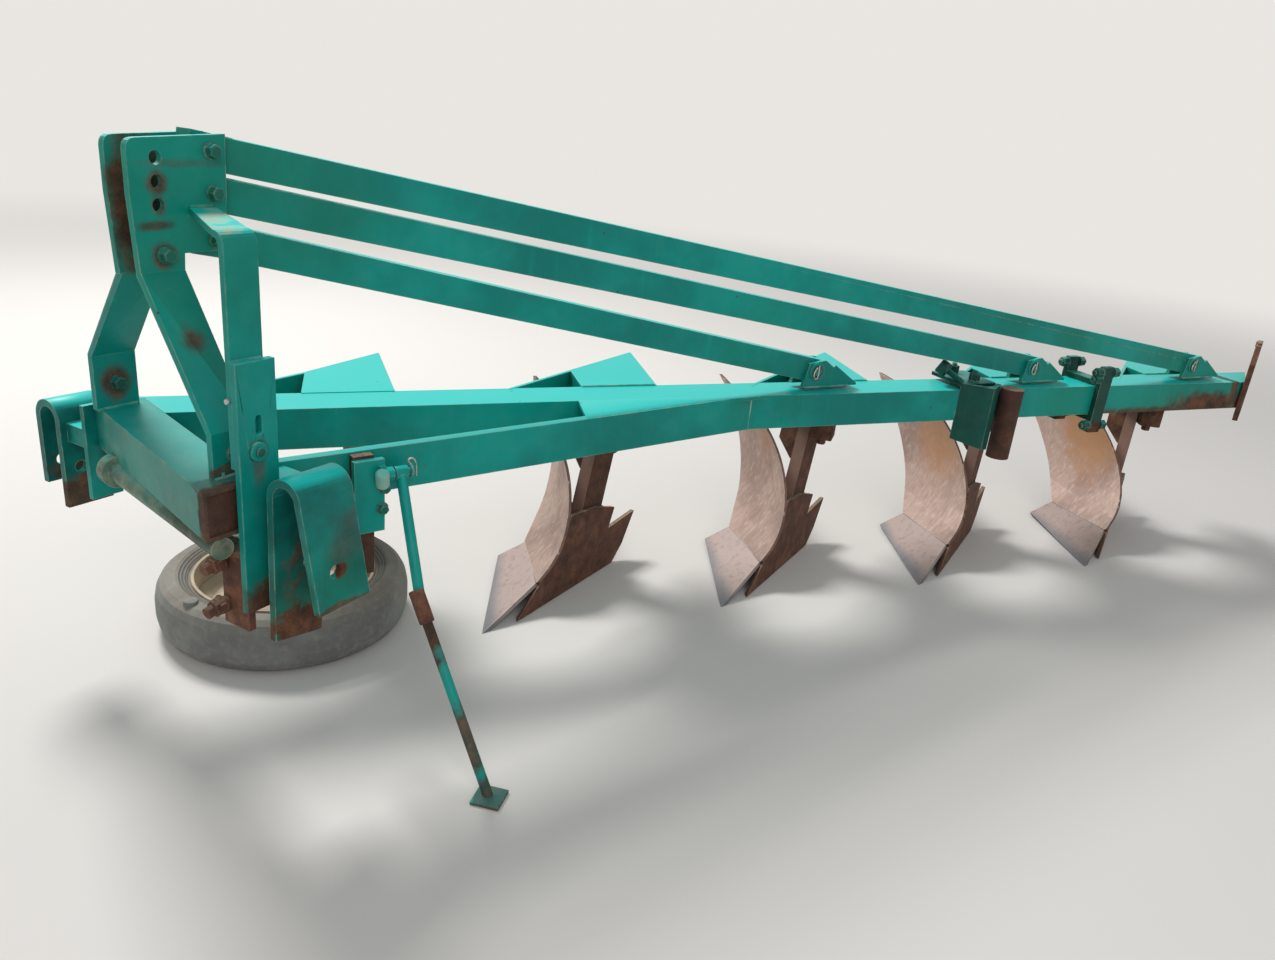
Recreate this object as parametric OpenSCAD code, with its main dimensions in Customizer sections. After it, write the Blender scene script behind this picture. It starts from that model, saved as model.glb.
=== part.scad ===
// Four furrow mounted mouldboard plough, right hand, as it stands parked.
// Millimetres, +Z up, +X towards the rear of the plough, +Y to its right hand side.
// The ground is z = 0. The share points, the stand foot and the wheel stand on it.

/* [Frame] */
// height of the top faces of the frame beams
frame_top = 656; // [560:1:760]
// height of the beam sections
beam_h = 100; // [80:1:140]
// wall thickness of the beam sections
beam_wall = 8; // [5:0.5:12]
// width of the long diagonal beam
main_w = 130; // [90:1:150]
// angle of the long beam to the line of travel
main_angle = 36.4; // [30:0.1:42]
// length of the long beam from its front end
main_len = 3690; // [3000:10:4200]
// width of the front cross beam
cross_w = 107; // [80:1:140]
// width of the short beam that braces the long one
short_w = 90; // [70:1:120]
// thickness of the plate at the rear end
end_plate_t = 16; // [8:1:25]
// diameter of the round bar under the cross beam
cross_bar_d = 44; // [30:1:60]

/* [Bodies] */
// distance from body to body along the line of travel
body_pitch_x = 582; // [500:1:750]
// distance from furrow to furrow
body_pitch_y = 453; // [300:1:480]
// share point of the first body, from the front
tip_x = 948; // [850:1:1050]
// share point of the first body, from the middle
tip_y = -310; // [-360:1:-250]
// heading of the share's level lines, from the line of travel
share_angle = 36; // [28:0.5:45]
// slope of the share face
share_slope = 30.6; // [22:0.1:38]
// heading of the mouldboard's level lines, from the line of travel
board_angle = 40; // [34:0.5:46]
// radius of the hollow of the mouldboard
board_r = 266; // [220:1:320]
// thickness of the mouldboard
board_t = 9; // [6:0.5:12]
// thickness of the share
share_t = 12; // [8:0.5:16]
// width of the legs along the plough
leg_w = 118; // [90:1:150]
// thickness of the legs
leg_t = 40; // [20:1:50]
// lean of the legs from upright, tops to the rear
leg_lean = 16.5; // [0:0.5:25]
// thickness of the landside plates
land_t = 14; // [8:1:20]
// height of the landside plates
land_h = 204; // [120:1:240]

/* [Tower] */
// thickness of the tower plates
tower_t = 14; // [10:1:25]
// distance between the tower plates
tower_gap = 52; // [50:1:90]
// bore for the upper hitch pin
top_bore_d = 25.7; // [19:0.1:32]

/* [Hitch] */
// half the distance between the lower hitch points
hitch_half = 412.5; // [340:0.5:480]
// height of the lower hitch bores
hitch_z = 490; // [450:1:540]
// place of the lower hitch bores along the plough
hitch_x = 295; // [270:1:310]
// bore for the lower hitch pins
hitch_bore_d = 28.7; // [22:0.1:37]
// outer width of the hitch straps
strap_out = 90; // [70:1:120]
// thickness of the hitch straps
strap_t = 16; // [10:1:22]

/* [Braces] */
// depth of the brace bars
brace_h = 69; // [60:1:80]
// thickness of the brace bars
brace_t = 40; // [20:1:48]
// diameter of the brace pins
brace_pin_d = 22; // [16:1:30]

/* [Wheel] */
// outer diameter of the tyre
tyre_d = 645; // [560:5:720]
// width of the tyre, which is its height as it lies flat
tyre_h = 150; // [110:1:180]
// diameter of the rim seat
rim_d = 470; // [400:5:520]
// place of wheel centre along the plough
wheel_x = 697; // [640:1:760]
// place of the wheel centre across the plough
wheel_y = 168; // [140:1:200]
// height of the underside of the wheel
wheel_z = 0; // [0:1:20]
// diameter of the upright axle pin
axle_d = 50; // [35:1:60]
// radial clearance of the wheel bore
axle_gap = 0.08; // [0.02:0.01:0.1]

/* [Post and stand] */
// height of the top of the front post
post_top = 895; // [860:1:960]
// height of the foot of the front post
post_low = 395; // [380:1:480]
// width of the front post
post_w = 88; // [70:1:110]
// thickness of the front post
post_t = 15; // [10:1:20]
// diameter of the upper stand tube
stand_d = 33; // [26:1:40]
// diameter of the lower stand rod
stand_rod_d = 24; // [16:1:30]
// diameter of the stand's hinge pin
stand_pin_d = 18; // [12:1:24]
// side of the stand foot plate
foot_w = 64; // [50:1:100]

/* [Hidden] */
$fn = 48;

green = "#14897b";
rust = "#5a3c30";
// gap where one piece seats on another
seat = 0.3;
frame_low = frame_top - beam_h;
// middle of the bounding box, moved to the origin
centre_x = 1865.7;
centre_y = -751.6;

module placed() {
  translate([-centre_x, -centre_y, 0])
    children();
}

// round bar from p to q
module rod(p, q, r) {
  v = q - p;
  translate(p)
    rotate([0, acos(v[2] / norm(v)), atan2(v[1], v[0])])
      cylinder(h = norm(v), r = r);
}

// flat plate from y0 towards +y, drawn by its outline (x, z)
module upright(y0, t, outline) {
  translate([0, y0 + t, 0])
    rotate([90, 0, 0])
      linear_extrude(height = t)
        polygon(outline);
}

// plate lying at height z, drawn by its outline (x, y)
module level(z, t, outline) {
  translate([0, 0, z])
    linear_extrude(height = t)
      polygon(outline);
}

// point at share t of the curve from p to q that bends towards c
function bend(p, c, q, t) = (1 - t) * (1 - t) * p + 2 * t * (1 - t) * c + t * t * q;
// points of that curve in n steps
function curve(p, c, q, n) = [for (i = [0 : n]) bend(p, c, q, i / n)];

// long beam: front end at the middle of its width
main_x0 = 318;
main_y0 = 265;
ca = cos(main_angle);
sa = sin(main_angle);

// local frame of the long beam: u along it to the rear, v to the far side
module on_beam(u, v = 0) {
  translate([main_x0 + u * ca + v * sa, main_y0 - u * sa + v * ca, 0])
    rotate([0, 0, -main_angle])
      children();
}

// room taken by the long beam, grown by g
module main_room(g) {
  on_beam(0)
    translate([-g, -main_w / 2 - g, frame_low - g])
      cube([main_len + 2 * g, main_w + 2 * g, beam_h + 2 * g]);
}

// short beam, from the near end of the cross beam to the middle of the long one
short_x0 = 216;
short_y0 = -170.6;
short_angle = 21.2;
short_len = ((main_x0 - short_x0) * sa + (main_y0 - short_y0) * ca) / sin(main_angle - short_angle);

module on_short(s, v = 0) {
  translate([short_x0 + s * cos(short_angle) + v * sin(short_angle),
    short_y0 - s * sin(short_angle) + v * cos(short_angle), 0])
    rotate([0, 0, -short_angle])
      children();
}

module short_room(g) {
  on_short(-g, 0)
    translate([0, -short_w / 2 - g, frame_low - g])
      cube([short_len + 2 * g, short_w + 2 * g, beam_h + 2 * g]);
}

// cross beam, skewed to the line of travel, far end on the web of the far hitch strap
cross_x0 = 132;
cross_y0 = -296;
cross_angle = 74.3;
strap_web = 71.5;
cross_len = (hitch_half - strap_out / 2 - strap_web - cross_y0) / sin(cross_angle);
function cross_front(y) = cross_x0 + (y - cross_y0) / tan(cross_angle);

// room taken by the cross beam, grown by g
module cross_room(g) {
  translate([cross_x0, cross_y0, frame_low - g])
    rotate([0, 0, cross_angle])
      translate([-g, -cross_w - g, 0])
        cube([cross_len + 2 * g, cross_w + 2 * g, beam_h + 2 * g]);
}

module main_beam() {
  color(green)
    placed()
      union() {
        difference() {
          main_room(0);
          difference() {
            main_room(-beam_wall);
            cross_room(beam_wall + seat);
          }
          cross_room(seat);
        }
        on_beam(main_len - 1)
          rotate([0, -90, 0])
            translate([0, 0, -end_plate_t])
              linear_extrude(height = end_plate_t)
                polygon([[frame_low - 60, -60], [frame_low - 30, -74], [frame_top + 30, -68],
                  [frame_top + 64, -52], [frame_top + 64, 28], [frame_top + 30, 56],
                  [frame_low - 30, 62], [frame_low - 60, 50]]);
      }
}

module short_beam() {
  color(green)
    placed()
      difference() {
        short_room(0);
        difference() {
          short_room(-beam_wall);
          main_room(beam_wall + seat);
          cross_room(beam_wall + seat);
        }
        main_room(seat);
        cross_room(seat);
      }
}

// the cross beam is a tube that is open at its near end
module cross_beam() {
  color(green)
    placed()
      difference() {
        cross_room(0);
        translate([cross_x0, cross_y0, frame_low])
          rotate([0, 0, cross_angle])
            translate([-10, beam_wall - cross_w, beam_wall])
              cube([cross_len - beam_wall + 10, cross_w - 2 * beam_wall, beam_h - 2 * beam_wall]);
        post_room(seat);
      }
}

// round bar with a collar, below the front edge of the cross beam
module cross_shaft() {
  z = frame_low - cross_bar_d / 2 - seat;
  near_y = post_y + post_t + 18;
  far_y = 205;
  collar_l = 30;
  color("#5a4436")
    placed()
      difference() {
        union() {
          rod([cross_front(near_y) + 33, near_y, z], [cross_front(far_y), far_y, z], cross_bar_d / 2);
          rod([cross_front(far_y - collar_l) + 2, far_y - collar_l, z], [cross_front(far_y), far_y, z],
            cross_bar_d / 2 + 14);
        }
        cross_room(seat);
      }
}

// tower: a head of two plates, and a leg from each to its end of the cross beam
bolt_r = 11;
top_bore_x = 266;
top_bores = [1216, 1173, 1130];
// bolts of the tower: x, z; the first three hold the brace bars
tower_bolt = [[384, 1229], [385, 1150], [385, 1059], [270, 1037]];
head = concat([[218, 995], [209, 1150], [209, 1228]],
  curve([209, 1230], [210, 1250], [230, 1250], 4),
  [[420, 1262], [416, 1140], [402, 1038], [314, 1038], [312, 1005]]);

module tower_head(y0) {
  difference() {
    upright(y0, tower_t, head);
    for (z = top_bores)
      translate([top_bore_x, y0 - 5, z])
        rotate([-90, 0, 0])
          cylinder(h = tower_t + 10, r = top_bore_d / 2);
    for (b = tower_bolt)
      translate([b[0], y0 - 5, b[1]])
        rotate([-90, 0, 0])
          cylinder(h = tower_t + 10, r = bolt_r + seat);
  }
}

// leg of the tower: from the head at y_top down to a foot that stands on the frame
module tower_leg(x_top, w_top, y_top, x_low, w_low, y_low, z_low) {
  hull() {
    translate([x_top, y_top, 998])
      cube([w_top, tower_t, 8]);
    translate([x_low, y_low, z_low])
      cube([w_low, tower_t, 4]);
  }
  translate([x_low, y_low, frame_top + seat])
    cube([w_low, tower_t, z_low + 2 - frame_top - seat]);
}

module tower_plate_near() {
  color(green)
    placed()
      union() {
        tower_head(-tower_gap / 2 - tower_t);
        tower_leg(218, 94, -tower_gap / 2 - tower_t, 185, 90, -258, 742);
      }
}

module tower_plate_far() {
  color(green)
    placed()
      union() {
        tower_head(tower_gap / 2);
        tower_leg(224, 88, tower_gap / 2, 277, 100, 250, 777);
      }
}

// bolts through the tower; the lowest in front carries a spacer sleeve
module tower_bolts() {
  half = tower_gap / 2 + tower_t + 12;
  color("#6b4b3a")
    placed()
      union() {
        for (b = tower_bolt)
          rod([b[0], -half, b[1]], [b[0], half, b[1]], bolt_r);
        rod([270, seat - tower_gap / 2, 1037], [270, tower_gap / 2 - seat, 1037], 19);
      }
}

// brace bars from the tower down to the long beam; each has a straight tab between the plates
// place of the lower pin along the long beam, for each tower bolt
brace_u = [3470, 2700, 1845];
plate_t = 12;
pin_z = frame_top + 60;
bracket_z = frame_top + plate_t + seat;
tab_x = 436;
function pin_x(i) = main_x0 + brace_u[i] * ca;
function pin_y(i) = main_y0 - brace_u[i] * sa;
function brace_turn(i) = atan2(pin_y(i), pin_x(i) - tab_x);
function brace_run(i) = norm([pin_x(i) - tab_x, pin_y(i)]);
function brace_drop(i) = atan2(tower_bolt[i][1] - pin_z, brace_run(i) + tab_x - tower_bolt[i][0]);
function tab_z(i) = tower_bolt[i][1] - (tab_x - tower_bolt[i][0]) * tan(brace_drop(i));
function brace_len(i) = brace_run(i) / cos(brace_drop(i));

module brace_bar(i) {
  color(green)
    placed()
      difference() {
        union() {
          translate([tower_bolt[i][0], 0, tower_bolt[i][1]])
            rotate([0, brace_drop(i), 0])
              translate([-33, -brace_t / 2, -brace_h / 2])
                cube([tab_x - tower_bolt[i][0] + 45, brace_t, brace_h]);
          translate([tab_x, 0, tab_z(i)])
            rotate([0, brace_drop(i), brace_turn(i)])
              translate([0, -brace_t / 2, -brace_h / 2])
                cube([brace_len(i) + 30, brace_t, brace_h]);
        }
        translate([tower_bolt[i][0], 0, tower_bolt[i][1]])
          rotate([90, 0, 0])
            cylinder(h = 100, r = bolt_r + seat, center = true);
        translate([pin_x(i), pin_y(i), pin_z])
          rotate([90, 0, brace_turn(i)])
            cylinder(h = brace_t * 2, r = brace_pin_d / 2 + 0.6, center = true);
      }
}

// two ears with a pin, and a sloping plate between their rear ends
module brace_bracket(i) {
  ear_out = brace_t / 2 + 13;
  color(green)
    placed()
      translate([pin_x(i), pin_y(i), bracket_z])
        rotate([0, 0, brace_turn(i)])
          union() {
            for (y0 = [-ear_out, ear_out - plate_t])
              upright(y0, plate_t, [[-45, 0], [-30, 72], [30, 80], [140, 6], [140, 0]]);
            upright(-ear_out, 2 * ear_out, [[60, 56], [70, 64], [160, 6], [160, 0], [140, 0]]);
            translate([0, 0, pin_z - bracket_z])
              rotate([90, 0, 0])
                cylinder(h = 2 * ear_out + 16, r = brace_pin_d / 2, center = true);
          }
}

// bodies, drawn at the share point and moved by the pitch
module at_body(k) {
  translate([tip_x + (k - 1) * body_pitch_x, tip_y - (k - 1) * body_pitch_y, 0])
    children();
}

// face of the landside, and the plates that hold the leg
land_y = -37;
leg_y = land_y + land_t + seat;
cheek_y = leg_y + leg_t + seat;
rim_y = 59;

// bracket k: top plate, two cheeks and two ribs from the long beam to the leg of body k
module leg_bracket(k) {
  color(green)
    placed()
      difference() {
        at_body(k)
          union() {
            for (y0 = [cheek_y, rim_y])
              upright(y0, plate_t, [[300, frame_top - 20], [330, frame_top + 1], [780, frame_top + 1],
                [800, frame_top - 20], [800, frame_low - 10], [748, frame_low - 40],
                [508, frame_low - 40], [300, frame_low + 30]]);
            level(frame_top, plate_t, [[218, 71], [800, 71], [521, -188], [380, -290], [110, -229]]);
            level(frame_low, beam_h + 1, [[800, 68], [782, 68], [452, -234], [470, -234]]);
            level(frame_low, beam_h + 1, [[472, 68], [454, 68], [285, -100], [305, -110]]);
          }
        on_beam(-100)
          translate([0, -main_w / 2 - seat, frame_low - 60])
            cube([main_len + 300, main_w + 2 * seat, beam_h + 60 + seat]);
        if (k != 0)
          on_beam(-100)
            translate([0, -main_w / 2 - 400, frame_low - 60])
              cube([main_len + 300, 400, beam_h + 100]);
      }
}

// bent strap round a lower hitch point: two legs, each with its own outline (x, z),
// joined by half a ring above z_mid from x0 to x0 + w
module strap(yc, x0, w, z_mid, near_leg, far_leg) {
  r = strap_out / 2;
  difference() {
    union() {
      translate([x0, yc, z_mid])
        rotate([0, 90, 0])
          difference() {
            cylinder(h = w, r = r);
            translate([0, 0, -1])
              cylinder(h = w + 2, r = r - strap_t);
            translate([0, -strap_out, -1])
              cube([strap_out, strap_out * 2, w + 2]);
          }
      upright(yc - r, strap_t, near_leg);
      upright(yc + r - strap_t, strap_t, far_leg);
      children();
    }
    translate([hitch_x, yc - strap_out, hitch_z])
      rotate([-90, 0, 0])
        cylinder(h = strap_out * 2, r = hitch_bore_d / 2);
  }
}

module hitch_strap_near() {
  web_y = -hitch_half + strap_out / 2 - 2;
  bend_z = frame_top - 11;
  color(green)
    placed()
      strap(-hitch_half, 214, 128, bend_z,
        [[214, bend_z], [342, bend_z], [385, hitch_z - 82], [253, hitch_z - 85]],
        [[214, bend_z + 1], [342, bend_z + 1], [322, hitch_z - 166], [208, hitch_z - 146]])
        difference() {
          translate([post_x + post_w + 4, web_y, frame_low])
            cube([60, -web_y, beam_h - 8]);
          short_room(seat);
          translate([0, web_y + 110, 0])
            cube([600, 400, 1000]);
          cross_room(seat);
        }
}

module hitch_strap_far() {
  web_y = hitch_half - strap_out / 2 - strap_web + seat;
  bend_z = frame_top - 52;
  color(green)
    placed()
      strap(hitch_half, 256, 108, bend_z,
        [[256, bend_z + 1], [364, bend_z + 1], [364, hitch_z - 94], [256, hitch_z - 94]],
        [[256, bend_z + 1], [364, bend_z + 1], [364, hitch_z - 50], [256, hitch_z - 50]])
        difference() {
          union() {
            translate([272, web_y, frame_low])
              cube([62, strap_web + 1, 44]);
            translate([272, web_y, 432])
              cube([74, 12, frame_top - 432]);
          }
          main_room(seat);
        }
}

post_x = 187;
// clearance between the post and the near hitch strap
post_gap = 35.5;
post_y = -hitch_half + strap_out / 2 + post_gap;
slot_x = 233;
slot_z = [761, 785];
boss_x = 228;
boss_z = 723;
boss_r = 19;

// room of the post and its tie, grown by g
module post_room(g) {
  translate([0, post_y - 100, frame_low - 50])
    cube([400, 100 + post_t + 14 + g, 300]);
}

module post_plate() {
  color(green)
    placed()
      difference() {
        translate([post_x, post_y, post_low])
          cube([post_w, post_t, post_top - post_low]);
        for (z = slot_z)
          translate([slot_x, post_y - 10, z])
            rotate([-90, 0, 0])
              cylinder(h = 40, r = 7);
        translate([slot_x - 7, post_y - 10, slot_z[0]])
          cube([14, 40, slot_z[1] - slot_z[0]]);
        translate([boss_x, post_y - 10, boss_z])
          rotate([-90, 0, 0])
            cylinder(h = 40, r = boss_r + seat);
      }
}

// bar behind the post, bent at the top towards the tower
module post_tie() {
  tie_y = post_y + post_t + seat;
  tie_x1 = post_x + 75;
  color(green)
    placed()
      union() {
        difference() {
          translate([post_x + 2, tie_y, 690])
            cube([73, 13.4, 434]);
          for (z = slot_z)
            translate([slot_x, tie_y - 5, z])
              rotate([-90, 0, 0])
                cylinder(h = 40, r = 7);
        }
        rod([boss_x, post_y - 6, boss_z], [boss_x, tie_y + 6, boss_z], boss_r);
        level(1110, 14, [[post_x + 2.5, tie_y + 3], [tie_x1 - 0.5, tie_y + 3],
          [390, -tower_gap / 2 - tower_t - seat], [330, -tower_gap / 2 - tower_t - seat]]);
      }
}

// plate behind the foot of the post, with two studs that point to the front
module post_clamp() {
  clamp_y = post_y + post_t + seat;
  color(rust)
    placed()
      union() {
        translate([200, clamp_y, 345])
          cube([16, 72, 160]);
        for (z = [486, 392])
          union() {
            rod([204, clamp_y + 66, z], [154, clamp_y + 66, z - 11], 12);
            rod([192, clamp_y + 66, z - 3], [178, clamp_y + 66, z - 6], 20, $fn = 6);
          }
      }
}

// parking stand: it hangs on a pin beside the short beam and is kinked to its foot
stand_s = 387.5;
stand_off = 35.6;
stand_z = 609;
stand_knee = [469, -520, 365];
stand_foot = [432, -750, 0];
eye_l = 38;
eye_r = 18;
stand_v = -short_w / 2 - stand_off;
stand_head = [short_x0 + stand_s * cos(short_angle) + stand_v * sin(short_angle),
  short_y0 - stand_s * sin(short_angle) + stand_v * cos(short_angle), stand_z];
sleeve_v = (stand_foot - stand_knee) / norm(stand_foot - stand_knee);
stem_t = 22;
bracket_t = 14;

// plate in front of the stem, with an ear that carries the hinge pin
module stand_bracket() {
  face_v = -short_w / 2 - stem_t - 2 * seat;
  ear_s = stand_s - eye_l / 2 - 32;
  color(green)
    placed()
      union() {
        on_short(283, face_v - bracket_t)
          translate([0, 0, 480])
            cube([ear_s + 14 - 283, bracket_t, 165]);
        on_short(ear_s, face_v - 22)
          translate([0, 0, stand_z - 22])
            cube([14, stem_t + 22, 44]);
        on_short(ear_s, stand_v)
          translate([0, 0, stand_z])
            rotate([0, 90, 0])
              union() {
                cylinder(h = 31.5, r = 15);
                cylinder(h = 32 + eye_l + 8, r = stand_pin_d / 2);
                translate([0, 0, 32 + eye_l + 0.5])
                  cylinder(h = 6, r = 14);
              }
      }
}

// rusty flat stem clamped between the plate and the short beam
module stand_stem() {
  color(rust)
    placed()
      on_short(287, -short_w / 2 - stem_t - seat)
        translate([0, 0, 375])
          cube([46, stem_t, 277]);
}

module stand_tube() {
  color(green)
    placed()
      difference() {
        union() {
          rod(stand_head, stand_knee, stand_d / 2);
          on_short(stand_s - eye_l / 2, stand_v)
            translate([0, 0, stand_z])
              rotate([0, 90, 0])
                cylinder(h = eye_l, r = eye_r);
        }
        on_short(stand_s - eye_l, stand_v)
          translate([0, 0, stand_z])
            rotate([0, 90, 0])
              cylinder(h = 2 * eye_l, r = stand_pin_d / 2 + 0.08);
        rod(stand_knee - 200 * sleeve_v, stand_knee + 200 * sleeve_v, 24 + seat);
      }
}

module stand_rod() {
  color("#5b4a3c")
    placed()
      union() {
        translate(stand_foot - [foot_w / 2, foot_w / 2, 0])
          cube([foot_w, foot_w, 8]);
        rod(stand_knee - 38 * sleeve_v, stand_knee + 38 * sleeve_v, 24);
        difference() {
          rod(stand_knee, stand_foot, stand_rod_d / 2);
          translate(stand_foot - [50, 50, 96])
            cube([100, 100, 100]);
        }
      }
}

// folded jaw on the near face of the long beam, under a strap over its top
module beam_clamp() {
  face = -main_w / 2 - seat;
  color("#0d5a4a")
    placed()
      on_beam(0)
        union() {
          difference() {
            level(frame_low - 110, beam_h + 110 + 2 * plate_t, [[2376, face], [2446, face - 75], [2516, face - 27],
              [2509, face - 15], [2446, face - 58], [2394, face]]);
            upright(-300, 300, [[2360, 400], [2540, 400], [2540, 452], [2446, 478], [2376, 496],
              [2360, 496]]);
          }
          translate([2376, face - 10, bracket_z])
            cube([134, main_w + 22, plate_t]);
        }
}

// round holder of the lost coulter
module coulter_tube() {
  color("#4a3328")
    placed()
      on_beam(2560, -main_w / 2 - 36 - seat)
        translate([0, 0, frame_low - 120])
          difference() {
            cylinder(h = 232, r = 36);
            translate([0, 0, -1])
              cylinder(h = 60, r = 26);
          }
}

// strap round the long beam between the last two bodies
module rear_clamp() {
  wall = 20;
  color("#0d5a4a")
    placed()
      on_beam(2967, 0)
        difference() {
          translate([0, -main_w / 2 - wall, frame_low - 60])
            cube([50, main_w + 2 * wall, beam_h + 130]);
          translate([-1, -main_w / 2 - seat, frame_low - seat])
            cube([52, main_w + 2 * seat, beam_h + 2 * seat]);
          translate([-1, -main_w / 2, frame_top + wall])
            cube([52, main_w, 100]);
          translate([-1, -main_w / 2, frame_low - 100])
            cube([52, main_w, 100 - wall]);
        }
}

// mouldboard: a hollow round above board_bend, running out straight below it
board_bend = 40;
board_y = 15;
board_z = 296;

// everything in front of the mouldboard face, grown by g
module board_room(g) {
  rotate([0, 0, board_angle])
    translate([-200, board_y, board_z])
      union() {
        rotate([0, 90, 0])
          cylinder(h = 1500, r = board_r + g, $fn = 180);
        rotate([board_bend - 90, 0, 0])
          translate([0, 0, -board_r - g])
            cube([1500, 330, board_r + g]);
      }
}

// outline of the board, seen square to its level lines: seam, wing, top and shin
seam_shin = [145, 85.4];
seam_wing = [469, 67.4];
wing_top = [1000, 450];
shin_top = [443, 450];
board_line = concat([seam_shin], curve(seam_wing, [975, 315], wing_top, 8),
  curve([975, 478], [730, 500], shin_top, 6), curve([440, 447], [174, 181], [146, 95], 7));

module mouldboard(k) {
  color("#a08a7c")
    placed()
      at_body(k)
        intersection() {
          difference() {
            board_room(board_t);
            board_room(0);
          }
          rotate([0, 0, board_angle])
            upright(-500, 600, board_line);
        }
}

// share: a flat plate from the ground to the seam, its edge ground off level with the ground
share_line = [[0, 0], [472, -30], [478, -131], [155, -166.5]];

module share(k) {
  color("#8e8a88")
    placed()
      at_body(k)
        intersection() {
          rotate([0, 0, share_angle])
            rotate([-share_slope, 0, 0])
              translate([0, 0, -share_t])
                linear_extrude(height = share_t)
                  polygon(share_line);
          translate([-100, -300, 0])
            cube([900, 900, 300]);
        }
}

// room in front of the share's underside, grown by g
module share_room(g) {
  rotate([0, 0, share_angle])
    rotate([-share_slope, 0, 0])
      translate([-100, -172, -share_t - g])
        cube([700, 400, 300]);
}

module landside(k) {
  color("#6a5247")
    placed()
      at_body(k)
        difference() {
          upright(land_y, land_t, [[100, 3], [620, 3], [676, 52], [739, 152], [579, 139],
            [608, land_h], [494, land_h + 34], [300, land_h + 54], [150, land_h]]);
          board_room(board_t + seat);
          share_room(seat);
        }
}

// leg with its foot, the frog, which fills the corner behind the board and the share
module leg(k) {
  foot_z = land_h + 22;
  foot_x = 432;
  top_z = frame_top - seat;
  rake = (top_z - foot_z) * tan(leg_lean);
  color(rust)
    placed()
      at_body(k)
        difference() {
          union() {
            upright(leg_y, leg_t, [[foot_x, foot_z], [foot_x + 40, 80], [foot_x + leg_w, 80],
              [foot_x + leg_w, foot_z], [foot_x + rake + leg_w, top_z], [foot_x + rake, top_z]]);
            level(70, 150, [[200, leg_y], [560, leg_y], [560, leg_y + leg_t], [470, 110],
              [380, 110]]);
          }
          board_room(board_t + seat);
          share_room(seat);
        }
}

// wheel arm: an upright in the first bracket, a flat arm and the upright axle pin
module wheel_leg() {
  arm_z = wheel_z + tyre_h + 20;
  arm_t = 50;
  x1 = tip_x - body_pitch_x + 645;
  y1 = tip_y + body_pitch_y + leg_y;
  color("#5a3325")
    placed()
      union() {
        at_body(0)
          upright(leg_y, leg_t, [[535, arm_z + 10], [645, arm_z + 10], [645, frame_top - seat],
            [535, frame_top - seat]]);
        translate([wheel_x, y1, arm_z])
          cube([x1 - wheel_x, 100, arm_t]);
        translate([wheel_x, wheel_y, arm_z])
          cylinder(h = arm_t, r = 52);
        translate([wheel_x, wheel_y, wheel_z + 25])
          cylinder(h = arm_z - wheel_z - 5, r = axle_d / 2);
      }
}

// rim: barrel, dished disc and hub in one turned profile (r, z)
module wheel_rim() {
  rim_r = rim_d / 2;
  hub_r = axle_d / 2 + 22;
  bore_r = axle_d / 2 + axle_gap;
  lip = 12;
  disc_z = tyre_h * 0.4;
  hub_top = tyre_h - 14;
  color("#b5a795")
    placed()
      translate([wheel_x, wheel_y, wheel_z])
        rotate_extrude($fn = 96)
          polygon([[bore_r, lip], [hub_r, lip], [hub_r, disc_z], [rim_r - 40, disc_z - 20],
            [rim_r - 9, disc_z], [rim_r - 9, lip], [rim_r, lip], [rim_r, tyre_h - lip],
            [rim_r - 9, tyre_h - lip], [rim_r - 9, disc_z + 12], [rim_r - 44, disc_z - 8],
            [hub_r, disc_z + 12], [hub_r, hub_top], [bore_r, hub_top]]);
}

// tyre: flat seat on the rim, rounded square shoulders
module tyre() {
  seat_r = rim_d / 2 + seat;
  mid_r = seat_r + (tyre_d / 2 - seat_r) * 0.4;
  wide = tyre_d / 2 - mid_r;
  half = tyre_h / 2;
  color("#77726a")
    placed()
      translate([wheel_x, wheel_y, wheel_z])
        rotate_extrude($fn = 96)
          polygon(concat([[seat_r, tyre_h * 0.88], [seat_r, tyre_h * 0.12]],
            [for (a = [-90 : 20 : 90]) [mid_r + wide * pow(cos(a), 0.7),
              half + half * sign(a) * pow(abs(sin(a)), 0.8)]]));
}

main_beam();
short_beam();
cross_beam();
cross_shaft();
tower_plate_near();
tower_plate_far();
tower_bolts();
brace_bar(0);  // brace_bar_1
brace_bar(1);  // brace_bar_2
brace_bar(2);  // brace_bar_3
brace_bracket(0);  // brace_bracket_1
brace_bracket(1);  // brace_bracket_2
brace_bracket(2);  // brace_bracket_3
leg_bracket(0);  // leg_bracket_1
leg_bracket(1);  // leg_bracket_2
leg_bracket(2);  // leg_bracket_3
leg_bracket(3);  // leg_bracket_4
leg_bracket(4);  // leg_bracket_5
hitch_strap_near();
hitch_strap_far();
post_plate();
post_tie();
post_clamp();
stand_bracket();
stand_stem();
stand_tube();
stand_rod();
beam_clamp();
coulter_tube();
rear_clamp();
leg(1);  // leg_1
leg(2);  // leg_2
leg(3);  // leg_3
leg(4);  // leg_4
mouldboard(1);  // mouldboard_1
mouldboard(2);  // mouldboard_2
mouldboard(3);  // mouldboard_3
mouldboard(4);  // mouldboard_4
share(1);  // share_1
share(2);  // share_2
share(3);  // share_3
share(4);  // share_4
landside(1);  // landside_1
landside(2);  // landside_2
landside(3);  // landside_3
landside(4);  // landside_4
wheel_leg();
wheel_rim();
tyre();
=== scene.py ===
"""Looks of a four furrow mounted mouldboard plough, parked on its share points, wheel and stand."""

import math

import bmesh
import bpy
from mathutils import Matrix, Vector


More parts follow.
